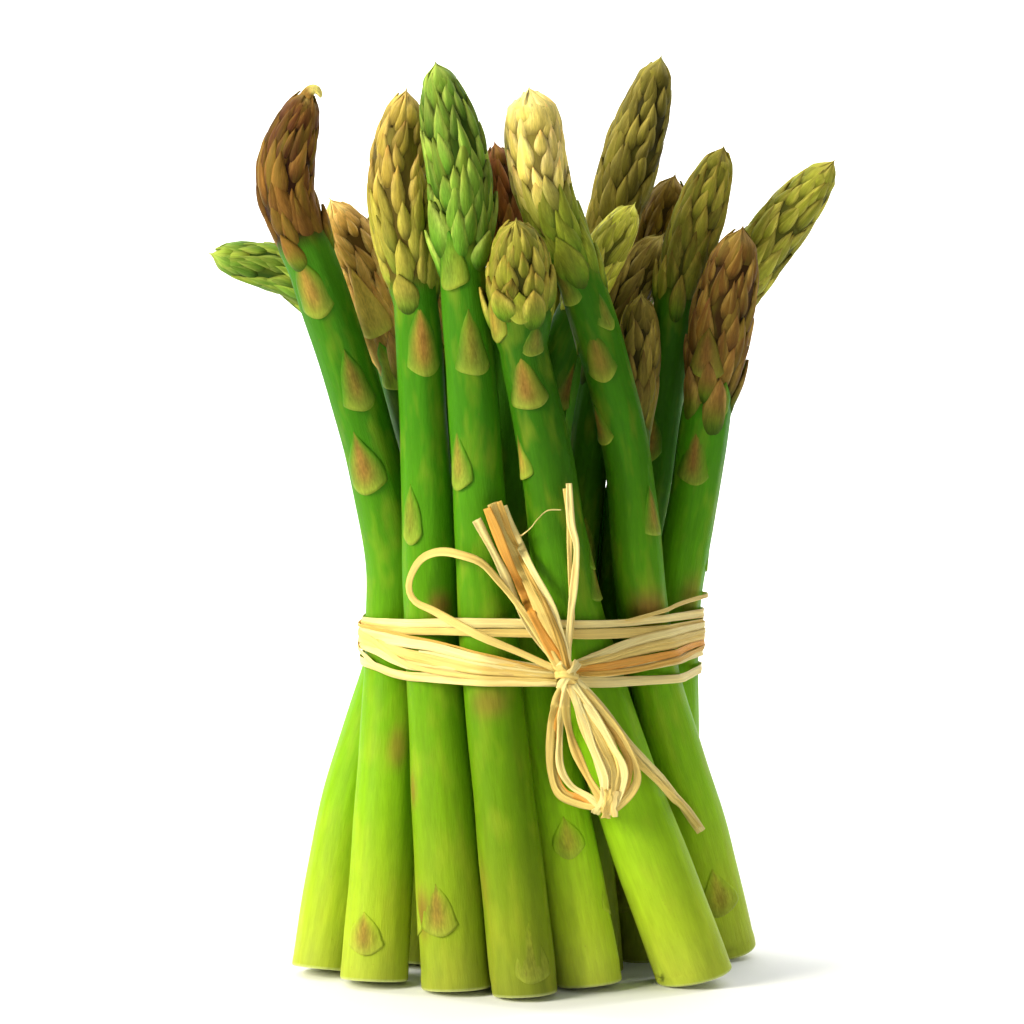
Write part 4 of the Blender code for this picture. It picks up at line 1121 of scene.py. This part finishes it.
def add_knot(bits, spears, band):
    """Short turns crossing over each other where all strands of the bow meet."""
    rng = random.Random(KNOT_COLOUR_SEED)
    for n, (width, kind, points) in enumerate(KNOT_TURNS):
        top = KNOT_TOP + KNOT_STEP * n
        heights = (top - KNOT_DIP, top, top, top - KNOT_DIP)
        path = [(x, z, ahead) for (x, z), ahead in zip(points, heights)]
        tint = strand_tint(kind, rng)
        add_bow_strand(bits, spears, band, width, path, tint, KNOT_SEED + n, KNOT_NODES)


def raffia_pieces(spears, mat):
    """The fine pieces that take the place of the wraps and the bow."""
    band = Band(spears)
    bits = Bits()
    for n, strand in enumerate(WRAP_STRANDS):
        add_wrap_strand(bits, band, strand, WRAP_SEED + n)
    wraps = bits.build("raffia_wraps_fine", mat)
    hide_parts("raffia_wraps")
    bits = Bits()
    rng = random.Random(BOW_COLOUR_SEED)
    for n, (width, kind, points) in enumerate(BOW_STRANDS):
        tint = strand_tint(kind, rng)
        add_bow_strand(bits, spears, band, width, points, tint, BOW_SEED + 10 * n, BOW_NODES)
    add_knot(bits, spears, band)
    bow = bits.build("raffia_bow_fine", mat)
    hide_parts("raffia_bow")
    for obj in (wraps, bow):
        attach(obj, "root")


# Materials

BUMP_DEPTH = 0.0003


class Material:
    """One procedural material, with short ways to add its nodes."""

    def __init__(self, name):
        self.mat = bpy.data.materials.new(name)
        self.mat.use_nodes = True
        self.tree = self.mat.node_tree
        self.tree.nodes.clear()
        self.shader = self.tree.nodes.new("ShaderNodeBsdfPrincipled")
        out = self.tree.nodes.new("ShaderNodeOutputMaterial")
        self.tree.links.new(self.shader.outputs["BSDF"], out.inputs["Surface"])

    def feed(self, node, inputs):
        """Give inputs of a node another node's socket or a fixed value each."""
        for key, value in inputs.items():
            if isinstance(value, bpy.types.NodeSocket):
                self.tree.links.new(value, node.inputs[key])
            else:
                node.inputs[key].default_value = value

    def node(self, kind, inputs, output=0, **settings):
        """The output of a new node."""
        node = self.tree.nodes.new("ShaderNode" + kind)
        for key, value in settings.items():
            setattr(node, key, value)
        self.feed(node, inputs)
        return node.outputs[output]

    def attribute(self, name, output):
        return self.node("Attribute", {}, output, attribute_type="GEOMETRY", attribute_name=name)

    def stretched(self, vector, scale):
        return self.node("VectorMath", {0: vector, 1: scale}, operation="MULTIPLY")

    def noise(self, vector, scale, detail, rough=0.55):
        inputs = {"Vector": vector, "Scale": scale, "Detail": detail, "Roughness": rough}
        return self.node("TexNoise", inputs, "Fac")

    def ranged(self, value, low, high, to_low, to_high):
        inputs = {"Value": value, "From Min": low, "From Max": high, "To Min": to_low, "To Max": to_high}
        return self.node("MapRange", inputs, "Result")

    def scaled(self, colour, value):
        return self.node("VectorMath", {0: colour, "Scale": value}, operation="SCALE")

    def blended(self, factor, first, second):
        return self.node("Mix", {0: factor, 6: first, 7: second}, 2, data_type="RGBA")

    def finish(self, height, strength, inputs):
        """The material, with bumps by height and the shader's inputs."""
        bump = {"Strength": strength, "Distance": BUMP_DEPTH, "Height": height}
        self.feed(self.shader, {"Normal": self.node("Bump", bump, "Normal"), **inputs})
        return self.mat


YELLOWED = (*linear(196, 190, 60), 1.0)
SPECK_BROWN = (*linear(120, 86, 44), 1.0)
DRIED_STRAW = (*STRAW_COLOURS["deep"], 1.0)


def asparagus_material():
    """Green skin with fine streaks, yellowed blotches and specks; dry bracts are streaked more."""
    m = Material("asparagus_skin")
    tint, grain, dry = m.attribute("tint", "Color"), m.attribute("grain", "Vector"), m.attribute("dry", "Fac")
    streaks = m.noise(grain, 1.1, 4.0)
    fine = m.noise(m.stretched(grain, (1, 1, 0.7)), 4.5, 3.0)
    blotches = m.noise(m.stretched(grain, (1, 1, 3.0)), 0.22, 2.0)
    specks = m.noise(m.stretched(grain, (1, 1, 5.0)), 2.6, 2.0)
    calm = m.scaled(tint, m.ranged(streaks, 0.3, 0.7, 0.9, 1.1))
    strong = m.scaled(tint, m.ranged(streaks, 0.3, 0.7, 0.72, 1.28))
    strong = m.scaled(strong, m.ranged(fine, 0.3, 0.7, 0.8, 1.2))
    colour = m.blended(m.ranged(dry, 0.0, 0.4, 0.0, 1.0), calm, strong)
    colour = m.scaled(colour, m.ranged(fine, 0.3, 0.7, 0.95, 1.05))
    yellow = m.blended(0.35, colour, YELLOWED)
    colour = m.blended(m.ranged(blotches, 0.5, 0.75, 0.0, 0.5), colour, yellow)
    colour = m.blended(m.ranged(specks, 0.68, 0.78, 0.0, 0.35), colour, SPECK_BROWN)
    rough = m.ranged(streaks, 0.3, 0.7, 0.36, 0.5)
    rough = m.node("Math", {0: dry, 1: 0.3, 2: rough}, operation="MULTIPLY_ADD")
    return m.finish(fine, 0.35, {"Base Color": colour, "Roughness": rough, "Specular IOR Level": 0.06,
                                 "Subsurface Weight": 0.08, "Subsurface Radius": (0.6, 1.0, 0.25),
                                 "Subsurface Scale": 0.003})


def raffia_material():
    """Dry straw with fibres along each strand and darker patches."""
    m = Material("raffia_fibre")
    tint, grain = (m.attribute(*pair) for pair in (("tint", "Color"), ("grain", "Vector")))
    fibres = m.noise(m.stretched(grain, (5.5, 1.0, 1.0)), 1.0, 5.0, 0.65)
    patches = m.noise(m.stretched(grain, (0.7, 1.6, 1.0)), 0.9, 2.0)
    colour = m.scaled(tint, m.ranged(fibres, 0.3, 0.7, 0.74, 1.16))
    colour = m.blended(m.ranged(patches, 0.52, 0.72, 0.0, 0.55), colour, DRIED_STRAW)
    rough = m.ranged(fibres, 0.3, 0.7, 0.46, 0.66)
    return m.finish(fibres, 0.6, {"Base Color": colour, "Roughness": rough, "Specular IOR Level": 0.25})


# Stage

CAMERA_DISTANCE = 0.75
CAMERA_ELEVATION = math.radians(4)
CAMERA_AIM = Vector((-0.0048, 0.0, 0.100))
LENS = 120.0
WORLD_STRENGTH = 0.13

# Paper: how far it runs to each side, in front and behind, the radius of its curve, its top
PAPER_HALF_WIDTH, PAPER_FRONT, PAPER_BACK, PAPER_CURVE, PAPER_TOP = 3.0, -1.6, 1.0, 0.8, 2.6
CURVE_STEPS = 12
PAPER_WHITE = (0.86, 0.86, 0.86, 1)
PAPER_ROUGHNESS = 0.95

# Area lights: name, place, size, power, colour, where each aims
WHITE, WARM = (1, 1, 1), (1.0, 0.95, 0.8)
LIGHTS = (
    ("key", (-0.85, -0.5, 0.5), (0.4, 0.5), 17, WARM, (0.0, 0.0, 0.1)),
    ("fill", (0.5, -1.0, 0.4), (0.8, 0.8), 1.2, WHITE, (0.0, 0.0, 0.1)),
    ("backdrop_left", (-1.0, 0.75, 1.1), (0.9, 0.9), 34, WHITE, (0.0, 1.8, 0.7)),
    ("backdrop_right", (1.0, 0.75, 1.1), (0.9, 0.9), 34, WHITE, (0.0, 1.8, 0.7)),
    ("floor", (0.0, 0.2, 1.3), (1.2, 0.8), 9, WHITE, (0.0, 0.5, 0.0)),
)


def add_camera():
    data = bpy.data.cameras.new("camera")
    data.lens = LENS
    data.sensor_width = 36.0
    data.clip_end = 20.0
    camera = placed("camera", data)
    away = Vector((0.0, -math.cos(CAMERA_ELEVATION), math.sin(CAMERA_ELEVATION)))
    camera.location = CAMERA_AIM + away * CAMERA_DISTANCE
    camera.rotation_euler = away.to_track_quat("Z", "Y").to_euler()
    bpy.context.scene.camera = camera


def add_light(name, place, size, power, colour, aim):
    data = bpy.data.lights.new(name, "AREA")
    data.shape = "RECTANGLE"
    data.size, data.size_y = size
    data.energy = power
    data.color = colour
    light = placed(name, data)
    light.location = place
    light.rotation_euler = (Vector(place) - Vector(aim)).to_track_quat("Z", "Y").to_euler()


def add_paper():
    """White paper that runs under the bundle and curves up behind it."""
    profile = [(PAPER_FRONT, 0.0), (0.0, 0.0), (PAPER_BACK, 0.0)]
    for k in range(1, CURVE_STEPS + 1):
        turn = 0.5 * math.pi * k / CURVE_STEPS
        rise = PAPER_CURVE - PAPER_CURVE * math.cos(turn)
        profile.append((PAPER_BACK + PAPER_CURVE * math.sin(turn), rise))
    profile.append((PAPER_BACK + PAPER_CURVE, PAPER_TOP))
    mesh = bpy.data.meshes.new("paper")
    points = [(x, y, z) for y, z in profile for x in (-PAPER_HALF_WIDTH, PAPER_HALF_WIDTH)]
    faces = [(2 * k, 2 * k + 1, 2 * k + 3, 2 * k + 2) for k in range(len(profile) - 1)]
    mesh.from_pydata(points, [], faces)
    mesh.shade_smooth()
    plain = Material("white_paper")
    plain.feed(plain.shader, {"Base Color": PAPER_WHITE, "Roughness": PAPER_ROUGHNESS})
    mesh.materials.append(plain.mat)
    paper = placed("paper", mesh)


def add_world():
    world = bpy.data.worlds.new("studio")
    world.use_nodes = True
    back = world.node_tree.nodes["Background"]
    back.inputs["Color"].default_value = (1, 1, 1, 1)
    back.inputs["Strength"].default_value = WORLD_STRENGTH
    bpy.context.scene.world = world
    bpy.context.scene.view_settings.view_transform = "Standard"


def main():
    spears = [Spear(spec, line, index) for index, (spec, line) in enumerate(zip(SPEARS, laid_out()))]
    skin = asparagus_material()
    for spear in spears:
        spear_piece(spear, spears, skin)
    raffia_pieces(spears, raffia_material())
    add_paper()
    add_world()
    for light in LIGHTS:
        add_light(*light)
    add_camera()


main()
